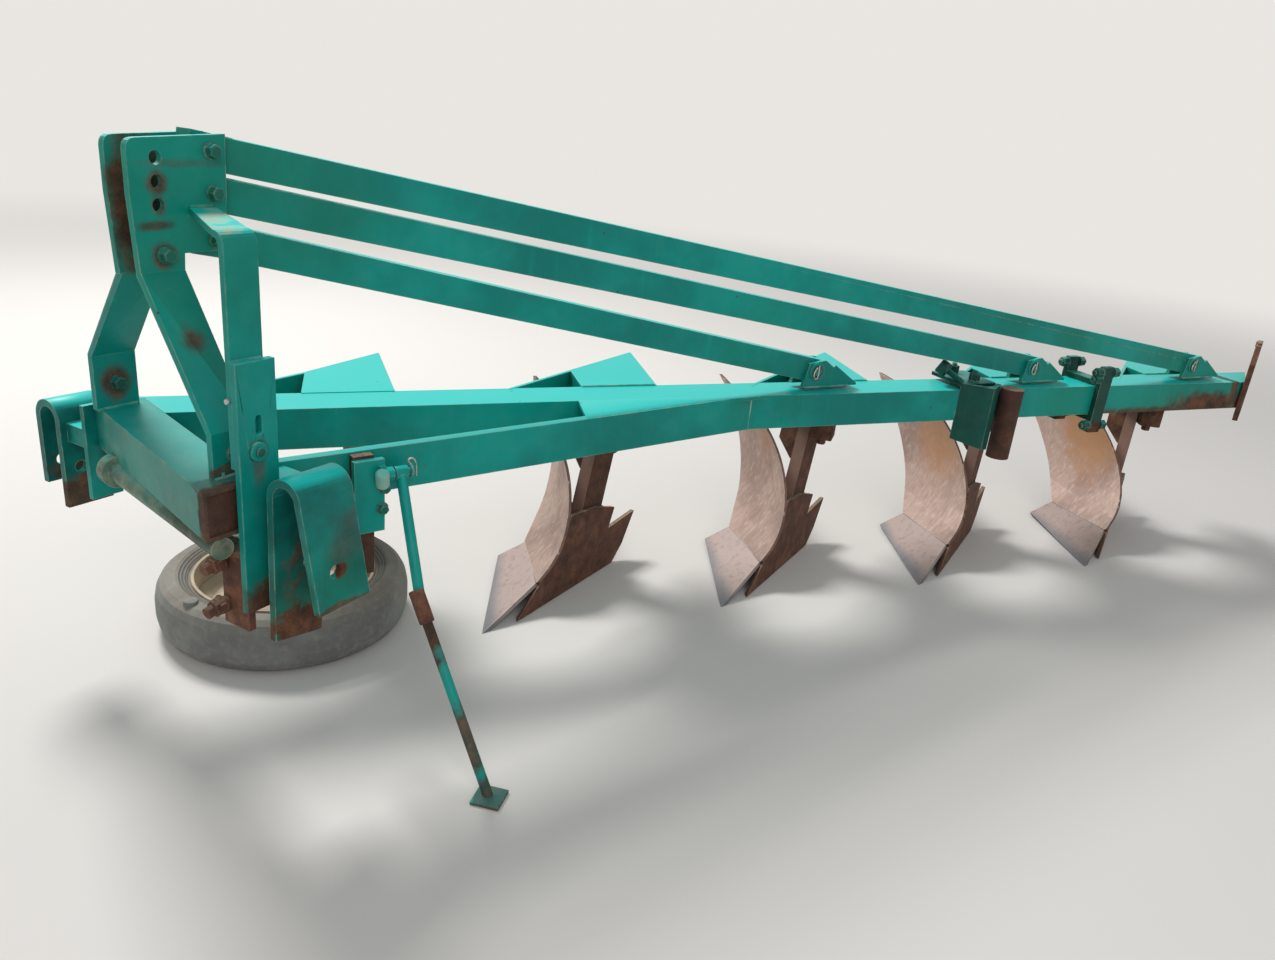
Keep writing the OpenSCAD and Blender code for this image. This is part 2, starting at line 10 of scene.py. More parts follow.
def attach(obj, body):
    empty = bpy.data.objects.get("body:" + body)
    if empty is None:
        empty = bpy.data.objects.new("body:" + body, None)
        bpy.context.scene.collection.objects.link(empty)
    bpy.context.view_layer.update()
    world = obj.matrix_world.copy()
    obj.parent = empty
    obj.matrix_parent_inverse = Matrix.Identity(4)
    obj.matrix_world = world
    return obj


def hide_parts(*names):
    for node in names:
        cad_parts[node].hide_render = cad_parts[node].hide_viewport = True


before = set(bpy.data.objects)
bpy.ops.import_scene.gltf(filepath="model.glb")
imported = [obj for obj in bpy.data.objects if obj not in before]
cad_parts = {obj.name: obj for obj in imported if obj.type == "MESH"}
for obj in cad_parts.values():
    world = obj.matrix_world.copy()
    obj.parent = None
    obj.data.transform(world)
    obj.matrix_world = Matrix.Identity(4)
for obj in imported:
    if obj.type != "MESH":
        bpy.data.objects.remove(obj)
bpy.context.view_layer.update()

bl_info = {
    "name": "Mouldboard plough",
    "version": (1, 0, 0),
    "blender": (4, 5, 0),
    "location": "3D View > Sidebar > Plough",
    "description": "Finishes, small parts and stage of a four furrow mouldboard plough",
    "category": "Object",
}

MM = 0.001
WELDED = 0.01 * MM
IMAGE_W = 1275
SENSOR_MM = 36

# The drawing of the plough has its zero at the hitch line. The frame has it under the middle of the box.
DRAWING_X = 1865.7
DRAWING_Y = -751.6

# Driving dimensions of the drawing, in mm
FRAME_TOP = 656
BEAM_START = (318, 265)
BEAM_ANGLE = math.radians(36.4)
SHORT_START = (216, -170.6)
SHORT_ANGLE = math.radians(21.2)
SHORT_W = 90
CROSS_START = (132, -296)
CROSS_ANGLE = math.radians(74.3)
TIP = (948, -310)
PITCH = (582, -453)
BOARD_ANGLE = math.radians(40)
WHEEL = (697, 168)
TOWER_FACE = 40
TOWER_BOLTS = ((384, 1229), (385, 1150), (385, 1059), (270, 1037))
FAR_FOOT_BOLT = (327, 712)
BRACE_PINS = (3470, 2700, 1845)
PIN_Z = 716
TAB_X = 436
BRACKET_STEP = (737.3, -19.3)
PLATE_FOOT = 645
POST_BOSS = (228, 723)
TIE_BACK = -316.7
STAND_OUT = SHORT_W / 2 + 35.6
STAND_HINGE_Z = 609
REAR_PLATE_Y = -2008

UP = Vector((0, 0, 1))


def at(x, y, z):
    """A place of the drawing, in mm, as a place in the frame."""
    return Vector((x - DRAWING_X, y - DRAWING_Y, z)) * MM


def on_line(start, angle, along, across, z):
    """A place beside a beam that runs from start at this angle to the line of travel."""
    return at(start[0] + along * math.cos(angle) + across * math.sin(angle),
              start[1] - along * math.sin(angle) + across * math.cos(angle), z)


def on_beam(u, v, z):
    """A place beside the long beam: u along it to the rear, v to its far side."""
    return on_line(BEAM_START, BEAM_ANGLE, u, v, z)


def on_short(u, v, z):
    """A place beside the short beam."""
    return on_line(SHORT_START, SHORT_ANGLE, u, v, z)


def on_body(k, x, y, z):
    """A place measured from the share point of body k."""
    return at(TIP[0] + (k - 1) * PITCH[0] + x, TIP[1] + (k - 1) * PITCH[1] + y, z)


def flat(angle):
    """The level direction that leaves the line of travel by this angle to the near side."""
    return Vector((math.cos(angle), -math.sin(angle), 0))


def linear(hex_colour):
    """An sRGB hex colour as linear RGBA."""
    values = [int(hex_colour[i:i + 2], 16) / 255 for i in (1, 3, 5)]
    return [v / 12.92 if v <= 0.04045 else ((v + 0.055) / 1.055) ** 2.4 for v in values] + [1.0]


def colour(name, description, hex_colour):
    """A colour that the user can change."""
    return bpy.props.FloatVectorProperty(name=name, description=description, subtype="COLOR", size=4,
                                         min=0, max=1, default=linear(hex_colour))


def length(name, description, mm):
    """A length that the user can change."""
    return bpy.props.FloatProperty(name=name, description=description, unit="LENGTH", min=0,
                                   precision=4, default=mm * MM)


class PloughSizes(bpy.types.PropertyGroup):
    """Sizes and colours that the operators read"""
    enamel: colour("Enamel", "Green enamel of the frame", "#039a8f")
    enamel_deep: colour("Deep enamel", "Thick or damp places in the enamel", "#057d74")
    # painted sunlight: the bleached colour also stands in for the lit look of the faces that look up
    enamel_bleached_sunlit: colour("Bleached enamel", "Enamel that the sun has bleached", "#02c8c0")
    old_enamel: colour("Old enamel", "Older, darker coat of the clamps", "#0b5248")
    board_steel: colour("Board steel", "Mouldboards under a film of dry soil", "#b2988b")
    share_steel: colour("Share steel", "Bare ground edge of the shares", "#77777b")
    bloom: colour("Rust bloom", "Thin orange rust on scoured steel", "#b0825a")
    rust: colour("Rust", "Rust of forged legs and landsides", "#5e3b2c")
    rust_deep: colour("Deep rust", "Old dark rust", "#38241c")
    dust: colour("Dust", "Dry soil dust", "#c3ad93")
    rubber: colour("Rubber", "Dusty tyre rubber", "#80837f")
    rim: colour("Rim", "Beige rim paint under dust", "#b1a18b")
    backdrop: colour("Backdrop", "Pale backdrop, and the floor far away", "#e9e6e2")
    edge_radius: length("Edge radius", "Rounding of cut plate edges", 1.6)
    bolt_across: length("Bolt width", "Width across flats of the frame bolts", 25)
    bead: length("Weld size", "Width of the weld beads", 9)
    focal_px: bpy.props.FloatProperty(
        name="Focal length", description="Focal length in pixels of the whole picture",
        min=100, default=961.02)
    eye: bpy.props.FloatVectorProperty(
        name="Eye", description="Place of the camera", subtype="TRANSLATION", unit="LENGTH",
        size=3, default=(-2.76778, -0.99838, 1.37204))
    heading: bpy.props.FloatProperty(
        name="Heading", description="Turn of the camera about the upright", subtype="ANGLE",
        default=math.radians(298.43))
    dip: bpy.props.FloatProperty(
        name="Dip", description="How far the camera looks down", subtype="ANGLE",
        default=math.radians(20.70))
    roll: bpy.props.FloatProperty(
        name="Roll", description="Turn of the camera about its line of sight", subtype="ANGLE",
        default=math.radians(5.72))


def sizes():
    """The sizes and colours of this scene."""
    return bpy.context.scene.plough_sizes


# Kinds of shader node
NOISE = "ShaderNodeTexNoise"
MIX = "ShaderNodeMix"
RANGE = "ShaderNodeMapRange"
MATH = "ShaderNodeMath"
VECTOR = "ShaderNodeVectorMath"
MAPPING = "ShaderNodeMapping"
GEOMETRY = "ShaderNodeNewGeometry"

# Settings that go with them
COLOURS = {"data_type": "RGBA"}
SOFT = {"interpolation_type": "SMOOTHSTEP"}
GRAIN = {"Roughness": 0.6}
PLACED = {"vector_type": "TEXTURE"}
PLUS = {"operation": "ADD"}
LESS = {"operation": "SUBTRACT"}
TIMES = {"operation": "MULTIPLY"}
LARGER = {"operation": "MAXIMUM"}
LENGTH = {"operation": "LENGTH"}
ALONG = {"operation": "DOT_PRODUCT"}

# Sockets of the Mix node when it mixes colours
FACTOR, UNDER, UPPER, MIXED = 0, 6, 7, 2

# How node trees are laid out in the editor
NODES_IN_ROW = 12
NODE_STEP = (200, 320)


def fill(tree, n, settings):
    """Gives a node's sockets and properties their values, and links the sockets that are given a socket."""
    for key, value in settings.items():
        if isinstance(value, bpy.types.NodeSocket):
            tree.links.new(value, n.inputs[key])
        elif key == "stops":
            ramp = n.color_ramp.elements
            while len(ramp) < len(value):
                ramp.new(0.5)
            for element, (place, shade) in zip(ramp, value):
                element.position = place
                element.color = shade
        elif isinstance(key, int) or key in n.inputs:
            n.inputs[key].default_value = value
        else:
            setattr(n, key, value)


def node(tree, kind, settings, output=0):
    """Adds a shader node with its settings and links, and returns one of its outputs."""
    n = tree.nodes.new(kind)
    row, column = divmod(len(tree.nodes), NODES_IN_ROW)
    n.location = (column * NODE_STEP[0], -row * NODE_STEP[1])
    fill(tree, n, settings)
    return n.outputs[output]


def start(name):
    """A new material: itself, its tree, its shader and its Object coordinates."""
    m = bpy.data.materials.new(name)
    m.use_nodes = True
    tree = m.node_tree
    return m, tree, tree.nodes["Principled BSDF"], node(tree, "ShaderNodeTexCoord", {}, "Object")


def patch(size_mm):
    """The noise scale at which patches are about this wide."""
    return 0.5 / (size_mm * MM)


def worn(tree, place, spots, ragged):
    """Mask of worn spots: 1 inside each, 0 away from them, with an edge that the noise makes ragged."""
    swing = node(tree, MATH, {**LESS, 0: ragged, 1: 0.5})
    mask = None
    for spot in spots:
        inside = node(tree, MAPPING, {
            **PLACED, "Location": spot["place"], "Scale": [reach * MM for reach in spot["reach"]],
            "Rotation": (0, 0, spot.get("turn", 0)), "Vector": place})
        far = node(tree, VECTOR, {**LENGTH, 0: inside}, "Value")
        bumpy = node(tree, MATH, {**TIMES, 0: swing, 1: spot.get("ragged", 2.6)})
        uneven = node(tree, MATH, {**PLUS, 0: far, 1: bumpy})
        here = node(tree, RANGE, {**SOFT, "Value": uneven, "From Min": 0.80 - spot.get("soft", 0.0),
                                  "From Max": 1.15, "To Min": spot.get("depth", 1.0), "To Max": 0.0})
        mask = node(tree, MATH, {**LARGER, 0: mask, 1: here}) if mask else here
    return mask


def upward(tree, low=0.55, high=0.95):
    """How far the surface faces up, from 0 to 1."""
    normal = node(tree, GEOMETRY, {}, "Normal")
    height = node(tree, "ShaderNodeSeparateXYZ", {"Vector": normal}, "Z")
    return node(tree, RANGE, {**SOFT, "Value": height, "From Min": low, "From Max": high})


def edges(tree, radius_mm, strength):
    """Mask of the outer and inner edges, from how far a rounded normal leaves the true one."""
    true = node(tree, GEOMETRY, {}, "Normal")
    rounded = node(tree, "ShaderNodeBevel", {"samples": 4, "Radius": radius_mm * MM})
    same = node(tree, VECTOR, {**ALONG, 0: true, 1: rounded}, "Value")
    edge = node(tree, RANGE, {**SOFT, "Value": same, "From Min": 0.97, "From Max": 0.80})
    return node(tree, MATH, {**TIMES, 0: edge, 1: strength})


def facing(tree, way):
    """How squarely the surface faces a level way, from -1 to 1."""
    normal = node(tree, GEOMETRY, {}, "Normal")
    return node(tree, VECTOR, {**ALONG, 0: normal, 1: way}, "Value")


def finish(tree, shader, shade, rough, height=None, depth_mm=0.3, metal=0.0):
    """Puts colour, roughness, metal and the bump of the surface into the shader."""
    fill(tree, shader, {"Base Color": shade, "Roughness": rough, "Metallic": metal})
    if height:
        fill(tree, shader, {"Normal": node(tree, "ShaderNodeBump", {
            "Strength": 1.0, "Distance": depth_mm * MM, "Height": height})})


def rust_shade(tree, place, fine=None):
    """Rust in three depths, mottled in patches of 25 mm with 3 mm grain."""
    s = sizes()
    patches = node(tree, NOISE, {**GRAIN, "Scale": patch(25), "Detail": 6, "Vector": place})
    grain = fine or node(tree, NOISE, {**GRAIN, "Scale": patch(3), "Detail": 3, "Vector": place})
    broad_part = node(tree, MATH, {**TIMES, 0: patches, 1: 0.7})
    fine_part = node(tree, MATH, {**TIMES, 0: grain, 1: 0.3})
    both = node(tree, MATH, {**PLUS, 0: broad_part, 1: fine_part})
    return node(tree, "ShaderNodeValToRGB", {"Fac": both, "stops": (
        (0.34, s.rust_deep), (0.52, s.rust), (0.66, linear("#7d5138")))}, "Color")


def sprayed_enamel(name, spots=(), top_dust=0.06, base=None, deep=None, side_dust=0.02):
    """Green alkyd enamel, sprayed thick over mill scale: satin and chalky, with orange peel, bleached
    where the sun lies on it and lightened there as painted sunlight, dusty on top, rubbed pale on the edges
    and rusted through where it wears."""
    s = sizes()
    m, tree, shader, place = start(name)
    fresh = 0.25 if base else 1.0
    broad = node(tree, NOISE, {**GRAIN, "Scale": patch(260), "Detail": 5, "Vector": place})
    small = node(tree, NOISE, {**GRAIN, "Scale": patch(22), "Detail": 5, "Vector": place})
    broad_part = node(tree, MATH, {**TIMES, 0: broad, 1: 0.35})
    small_part = node(tree, MATH, {**TIMES, 0: small, 1: 0.65})
    ragged = node(tree, MATH, {**PLUS, 0: broad_part, 1: small_part})
    # thick and thin coats, a greener batch in places, and runs
    thin = node(tree, RANGE, {**SOFT, "Value": broad, "From Min": 0.36, "From Max": 0.62})
    paint = node(tree, MIX, {**COLOURS, UNDER: deep or s.enamel_deep, UPPER: base or s.enamel,
                             FACTOR: thin}, MIXED)
    batch = node(tree, NOISE, {**GRAIN, "Scale": patch(420), "Detail": 3, "Vector": place})
    greener = node(tree, RANGE, {**SOFT, "Value": batch, "From Min": 0.46, "From Max": 0.66,
                                 "To Max": 0.4 * fresh})
    paint = node(tree, MIX, {**COLOURS, UNDER: paint, UPPER: linear("#0c7a58"), FACTOR: greener}, MIXED)
    drawn_down = node(tree, MAPPING, {**PLACED, "Scale": (1, 1, 14), "Vector": place})
    runs = node(tree, NOISE, {**GRAIN, "Scale": patch(16), "Detail": 3, "Vector": drawn_down})
    runs = node(tree, RANGE, {**SOFT, "Value": runs, "From Min": 0.56, "From Max": 0.80,
                              "To Max": 0.30 * fresh})
    paint = node(tree, MIX, {**COLOURS, UNDER: paint, UPPER: linear("#12a596"), FACTOR: runs}, MIXED)
    # bleached, with painted sunlight, and dusty where it faces the sky
    top = upward(tree)
    bleached = node(tree, MATH, {**TIMES, 0: top, 1: 0.35 if base else 0.92})
    paint = node(tree, MIX, {**COLOURS, UNDER: paint, UPPER: s.enamel_bleached_sunlit, FACTOR: bleached}, MIXED)
    settled = node(tree, RANGE, {**SOFT, "Value": ragged, "From Min": 0.44, "From Max": 0.66})
    on_top = node(tree, MATH, {**TIMES, 0: top, 1: top_dust - side_dust})
    amount = node(tree, MATH, {**PLUS, 0: on_top, 1: side_dust})
    film = node(tree, MATH, {**TIMES, 0: settled, 1: amount})
    paint = node(tree, MIX, {**COLOURS, UNDER: paint, UPPER: linear("#b3b195"), FACTOR: film}, MIXED)
    # rubbed on the edges, nicked and rusted through
    patchy = node(tree, RANGE, {**SOFT, "Value": small, "From Min": 0.42, "From Max": 0.58,
                                "To Min": 0.25, "To Max": 0.95})
    rubbed = edges(tree, 3.5, patchy)
    paint = node(tree, MIX, {**COLOURS, UNDER: paint, UPPER: linear("#a3b8a2"), FACTOR: rubbed}, MIXED)
    cells = node(tree, "ShaderNodeTexVoronoi", {"Scale": 1 / (55 * MM), "Randomness": 1.0, "Vector": place})
    uneven = node(tree, MATH, {**TIMES, 0: small, 1: 0.22})
    nicks = node(tree, MATH, {**PLUS, 0: cells, 1: uneven})
    bare = node(tree, RANGE, {**SOFT, "Value": nicks, "From Min": 0.150, "From Max": 0.125})
    if spots:
        bare = node(tree, MATH, {**LARGER, 0: bare, 1: worn(tree, place, spots, ragged)})
    paint = node(tree, MIX, {**COLOURS, UNDER: paint, UPPER: rust_shade(tree, place), FACTOR: bare}, MIXED)
    # satin, dull under dust and rust
    dull_rust = node(tree, MATH, {**TIMES, 0: bare, 1: 0.45})
    dull_dust = node(tree, MATH, {**TIMES, 0: film, 1: 0.6})
    dull = node(tree, MATH, {**PLUS, 0: dull_rust, 1: dull_dust})
    rough = node(tree, MATH, {**PLUS, 0: 0.40, 1: dull})
    # orange peel, and pits in the rust
    peel = node(tree, NOISE, {**GRAIN, "Scale": patch(5), "Detail": 2, "Vector": place})
    pits = node(tree, NOISE, {**GRAIN, "Scale": patch(2.5), "Detail": 3, "Vector": place})
    raised = node(tree, MATH, {**TIMES, 0: peel, 1: 0.35})
    eaten = node(tree, MATH, {**PLUS, 0: 0.6, 1: pits})
    sunk = node(tree, MATH, {**TIMES, 0: bare, 1: eaten})
    height = node(tree, MATH, {**LESS, 0: raised, 1: sunk})
    finish(tree, shader, paint, rough, height, 0.45)
    # chalked enamel throws back less than fresh enamel does
    shader.inputs["Specular IOR Level"].default_value = 0.22
    return m


def scoured_steel(name):
    """Rolled plough steel, scoured by the soil and then left to dry: a pink beige film with flow lines,
    soft orange blooms high on the board, a painted highlight along the edges, and a back that never lost its
    rust."""
    s = sizes()
    m, tree, shader, place = start(name)
    broad = node(tree, NOISE, {**GRAIN, "Scale": patch(130), "Detail": 4, "Vector": place})
    small = node(tree, NOISE, {**GRAIN, "Scale": patch(14), "Detail": 5, "Vector": place})
    broad_part = node(tree, MATH, {**TIMES, 0: broad, 1: 0.5})
    small_part = node(tree, MATH, {**TIMES, 0: small, 1: 0.5})
    ragged = node(tree, MATH, {**PLUS, 0: broad_part, 1: small_part})
    flow = node(tree, MAPPING, {**PLACED, "Scale": (24, 1, 1.6), "Rotation": (0, 0, -BOARD_ANGLE),
                                "Vector": place})
    lines = node(tree, NOISE, {**GRAIN, "Scale": patch(8), "Detail": 3, "Vector": flow})
    clean = node(tree, RANGE, {**SOFT, "Value": broad, "From Min": 0.35, "From Max": 0.6})
    face = node(tree, MIX, {**COLOURS, UNDER: linear("#957b70"), UPPER: s.board_steel, FACTOR: clean}, MIXED)
    pale = node(tree, RANGE, {**SOFT, "Value": lines, "From Min": 0.50, "From Max": 0.75, "To Max": 0.45})
    face = node(tree, MIX, {**COLOURS, UNDER: face, UPPER: linear("#d3c2b8"), FACTOR: pale}, MIXED)
    dark = node(tree, RANGE, {**SOFT, "Value": lines, "From Min": 0.48, "From Max": 0.28, "To Max": 0.5})
    face = node(tree, MIX, {**COLOURS, UNDER: face, UPPER: linear("#84706a"), FACTOR: dark}, MIXED)
    bloom = worn(tree, place, BLOOMS, ragged)
    face = node(tree, MIX, {**COLOURS, UNDER: face, UPPER: s.bloom, FACTOR: bloom}, MIXED)
    # painted highlight: every edge is lightened to a pale beige
    painted_edge_highlight = edges(tree, 3, 0.7)
    ahead = facing(tree, (-math.sin(BOARD_ANGLE), math.cos(BOARD_ANGLE), 0))
    back = node(tree, RANGE, {**SOFT, "Value": ahead, "From Min": 0.10, "From Max": -0.05})
    face = node(tree, MIX, {**COLOURS, UNDER: face, UPPER: linear("#e6dcd2"), FACTOR: painted_edge_highlight}, MIXED)
    shade = node(tree, MIX, {**COLOURS, UNDER: face, UPPER: rust_shade(tree, place), FACTOR: back}, MIXED)
    duller = node(tree, MATH, {**TIMES, 0: back, 1: 0.28})
    rough = node(tree, MATH, {**PLUS, 0: 0.60, 1: duller})
    metal = node(tree, RANGE, {**SOFT, "Value": back, "To Min": 0.25, "To Max": 0.0})
    raised = node(tree, MATH, {**TIMES, 0: lines, 1: 0.4})
    pitted = node(tree, MATH, {**TIMES, 0: small, 1: back})
    height = node(tree, MATH, {**PLUS, 0: raised, 1: pitted})
    finish(tree, shader, shade, rough, height, 0.4, metal)
    return m


def ground_share(name):
    """Share of rolled steel, ground by the soil: the same dry film above, bare blue grey at the edge, painted
    shade in dark blue grey on the faces that don't look up, and a painted highlight along every edge.
    """
    s = sizes()
    m, tree, shader, place = start(name)
    broad = node(tree, NOISE, {**GRAIN, "Scale": patch(90), "Detail": 4, "Vector": place})
    small = node(tree, NOISE, {**GRAIN, "Scale": patch(10), "Detail": 5, "Vector": place})
    height = node(tree, "ShaderNodeSeparateXYZ", {"Vector": place}, "Z")
    wavy = node(tree, MATH, {**TIMES, 0: broad, 1: 0.03})
    uneven = node(tree, MATH, {**PLUS, 0: height, 1: wavy})
    film = node(tree, RANGE, {**SOFT, "Value": uneven, "From Min": 0.022, "From Max": 0.050})
    face = node(tree, MIX, {**COLOURS, UNDER: s.share_steel, UPPER: linear("#a8968f"), FACTOR: film}, MIXED)
    stain = node(tree, RANGE, {**SOFT, "Value": small, "From Min": 0.50, "From Max": 0.70, "To Max": 0.5})
    face = node(tree, MIX, {**COLOURS, UNDER: face, UPPER: linear("#7d6c66"), FACTOR: stain}, MIXED)
    # painted shade: the faces that don't look up are darkened to a dark blue grey
    up = upward(tree, 0.1, 0.5)
    sides = node(tree, MIX, {**COLOURS, UNDER: linear("#454b54"), UPPER: face, FACTOR: up}, MIXED)
    # painted highlight: every edge is lightened to near white
    painted_edge_highlight = edges(tree, 2.5, 0.6)
    shade = node(tree, MIX, {**COLOURS, UNDER: sides, UPPER: linear("#d9d2cc"), FACTOR: painted_edge_highlight}, MIXED)
    finish(tree, shader, shade, 0.5, small, 0.25, 0.4)
    return m


def forged_rust(name, light=0.0, forward_highlight=0.0, dark=0.0):
    """Forged and cast steel that has stood outside: brown rust with dark depths and a little dust, and, if
    asked, a painted highlight on the faces that look forward.
    """
    s = sizes()
    m, tree, shader, place = start(name)
    grain = node(tree, NOISE, {**GRAIN, "Scale": patch(3), "Detail": 4, "Vector": place})
    shade = rust_shade(tree, place, grain)
    flakes = node(tree, NOISE, {**GRAIN, "Scale": patch(40), "Detail": 6, "Vector": place})
    shade = node(tree, MIX, {**COLOURS, UNDER: shade, UPPER: linear("#2c1d18"), FACTOR: dark}, MIXED)
    loose = node(tree, RANGE, {**SOFT, "Value": flakes, "From Min": 0.52, "From Max": 0.72,
                               "To Max": 0.45 + light})
    shade = node(tree, MIX, {**COLOURS, UNDER: shade, UPPER: linear("#8b6a55"), FACTOR: loose}, MIXED)
    held = node(tree, RANGE, {**SOFT, "Value": grain, "From Min": 0.3, "From Max": 0.7,
                              "To Min": 0.2, "To Max": 0.6})
    settled = node(tree, MATH, {**TIMES, 0: upward(tree), 1: held})
    shade = node(tree, MIX, {**COLOURS, UNDER: shade, UPPER: s.dust, FACTOR: settled}, MIXED)
    # painted highlight: the faces that look forward are lightened to a pale pink brown
    if forward_highlight:
        painted_front_highlight = node(tree, RANGE, {**SOFT, "Value": facing(tree, (-1, 0, 0)), "From Min": 0.3,
                                   "From Max": 0.9, "To Max": forward_highlight})
        shade = node(tree, MIX, {**COLOURS, UNDER: shade, UPPER: linear("#a98577"), FACTOR: painted_front_highlight}, MIXED)
    rubbed = edges(tree, 3, 0.35)
    shade = node(tree, MIX, {**COLOURS, UNDER: shade, UPPER: linear("#a98a74"), FACTOR: rubbed}, MIXED)
    scaly = node(tree, MATH, {**TIMES, 0: flakes, 1: 1.2})
    height = node(tree, MATH, {**PLUS, 0: scaly, 1: grain})
    finish(tree, shader, shade, 0.86, height, 0.7)
    return m


def dusty_rubber(name):
    """Moulded tyre rubber, chalked by the sun and dusty: ribs round the bead with painted shade in the
    grooves between them, paler where dust lies.
    """
    s = sizes()
    m, tree, shader, place = start(name)
    hub = at(WHEEL[0], WHEEL[1], 0)
    centred = node(tree, MAPPING, {**PLACED, "Location": (hub.x, hub.y, 0), "Vector": place})
    level = node(tree, VECTOR, {**TIMES, 0: centred, 1: (1, 1, 0)})
    radius = node(tree, VECTOR, {**LENGTH, 0: level}, "Value")
    turns = node(tree, MATH, {**TIMES, 0: radius, 1: 2 * math.pi / (7.5 * MM)})
    wave = node(tree, MATH, {"operation": "SINE", 0: turns})
    outside = node(tree, RANGE, {**SOFT, "Value": radius, "From Min": 0.240, "From Max": 0.244})
    within = node(tree, RANGE, {**SOFT, "Value": radius, "From Min": 0.268, "From Max": 0.262})
    band = node(tree, MATH, {**TIMES, 0: outside, 1: within})
    rounded = node(tree, RANGE, {**SOFT, "Value": wave, "From Min": -0.4, "From Max": 0.6})
    ribs = node(tree, MATH, {**TIMES, 0: rounded, 1: band})
    broad = node(tree, NOISE, {**GRAIN, "Scale": patch(120), "Detail": 5, "Vector": place})
    small = node(tree, NOISE, {**GRAIN, "Scale": patch(9), "Detail": 5, "Vector": place})
    chalky = node(tree, RANGE, {**SOFT, "Value": broad, "From Min": 0.36, "From Max": 0.6, "To Min": 0.35})
    shade = node(tree, MIX, {**COLOURS, UNDER: linear("#5c5b59"), UPPER: s.rubber, FACTOR: chalky}, MIXED)
    lying = node(tree, MATH, {**TIMES, 0: upward(tree, 0.2, 0.9), 1: 0.2})
    clinging = node(tree, RANGE, {**SOFT, "Value": small, "From Min": 0.45, "From Max": 0.80, "To Max": 0.22})
    dusty = node(tree, MATH, {**PLUS, 0: lying, 1: clinging})
    shade = node(tree, MIX, {**COLOURS, UNDER: shade, UPPER: s.dust, FACTOR: dusty}, MIXED)
    # painted shade: the grooves between the ribs are darkened
    lit = node(tree, MATH, {**TIMES, 0: ribs, 1: 0.5})
    painted_groove_shade = node(tree, MATH, {**LESS, 0: 0.5, 1: lit})
    dark = node(tree, MATH, {**TIMES, 0: band, 1: painted_groove_shade})
    shade = node(tree, MIX, {**COLOURS, UNDER: shade, UPPER: linear("#3b3836"), FACTOR: dark}, MIXED)
    raised = node(tree, MATH, {**TIMES, 0: ribs, 1: 2.0})
    grainy = node(tree, MATH, {**TIMES, 0: small, 1: 0.5})
    height = node(tree, MATH, {**PLUS, 0: raised, 1: grainy})
    finish(tree, shader, shade, 0.88, height, 1.2)
    return m


def rim_paint(name):
    """Pressed wheel rim, beige paint under dust, with rust at its edges."""
    s = sizes()
    m, tree, shader, place = start(name)
    broad = node(tree, NOISE, {**GRAIN, "Scale": patch(60), "Detail": 6, "Vector": place})
    small = node(tree, NOISE, {**GRAIN, "Scale": patch(8), "Detail": 5, "Vector": place})
    dusty = node(tree, RANGE, {**SOFT, "Value": broad, "From Min": 0.4, "From Max": 0.65})
    shade = node(tree, MIX, {**COLOURS, UNDER: s.rim, UPPER: linear("#cdbda6"), FACTOR: dusty}, MIXED)
    speckle = node(tree, MATH, {**TIMES, 0: small, 1: 0.3})
    uneven = node(tree, MATH, {**PLUS, 0: broad, 1: speckle})
    patches = node(tree, RANGE, {**SOFT, "Value": uneven, "From Min": 0.80, "From Max": 0.90})
    rusty = node(tree, MATH, {**LARGER, 0: patches, 1: edges(tree, 5, 0.8)})
    shade = node(tree, MIX, {**COLOURS, UNDER: shade, UPPER: rust_shade(tree, place), FACTOR: rusty}, MIXED)
    finish(tree, shader, shade, 0.82, small, 0.4)
    return m


def dull_plate(name, hex_colour, rough=0.55, metal=0.6):
    """Plated or oiled bolt steel gone dull: grey with brown in the corners."""
    s = sizes()
    m, tree, shader, place = start(name)
    small = node(tree, NOISE, {**GRAIN, "Scale": patch(6), "Detail": 4, "Vector": place})
    brown = node(tree, RANGE, {**SOFT, "Value": small, "From Min": 0.50, "From Max": 0.72, "To Max": 0.8})
    shade = node(tree, MIX, {**COLOURS, UNDER: linear(hex_colour), UPPER: s.rust, FACTOR: brown}, MIXED)
    broad = node(tree, NOISE, {**GRAIN, "Scale": patch(15), "Detail": 4, "Vector": place})
    dusty = node(tree, RANGE, {**SOFT, "Value": broad, "From Min": 0.5, "From Max": 0.7, "To Max": 0.3})
    shade = node(tree, MIX, {**COLOURS, UNDER: shade, UPPER: s.dust, FACTOR: dusty}, MIXED)
    finish(tree, shader, shade, rough, small, 0.2, metal)
    return m


def once(name, make):
    """A material that several operators share, made the first time it is asked for."""
    return bpy.data.materials.get(name) or make(name)


def fitting_enamel():
    """The frame's enamel on welded fittings."""
    return once("sprayed_enamel_fittings", sprayed_enamel)


def bolt_enamel():
    """Bolts sprayed over with the frame, in a darker green."""
    return once("enamelled_bolts", lambda name: sprayed_enamel(
        name, (), 0.2, linear("#1a6a5c"), linear("#15463e")))


def pale_enamel():
    """Thin, sun bleached spray on a screw thread."""
    return once("pale_enamel_thread", lambda name: sprayed_enamel(
        name, (), 0.3, linear("#8fc4b6"), linear("#4f9a8c"), 0.3))


def old_enamel(name="old_dark_enamel"):
    """The darker coat of the clamps."""
    return once(name, lambda made: sprayed_enamel(made, (), 0.1, sizes().old_enamel, linear("#083c36")))


def dusty_metal():
    """Rusty steel under dry soil."""
    return once("dusty_rusty_steel", lambda name: forged_rust(name, 0.3))


def give(obj, material):
    """The piece wears only this material."""
    obj.data.materials.clear()
    obj.data.materials.append(material)


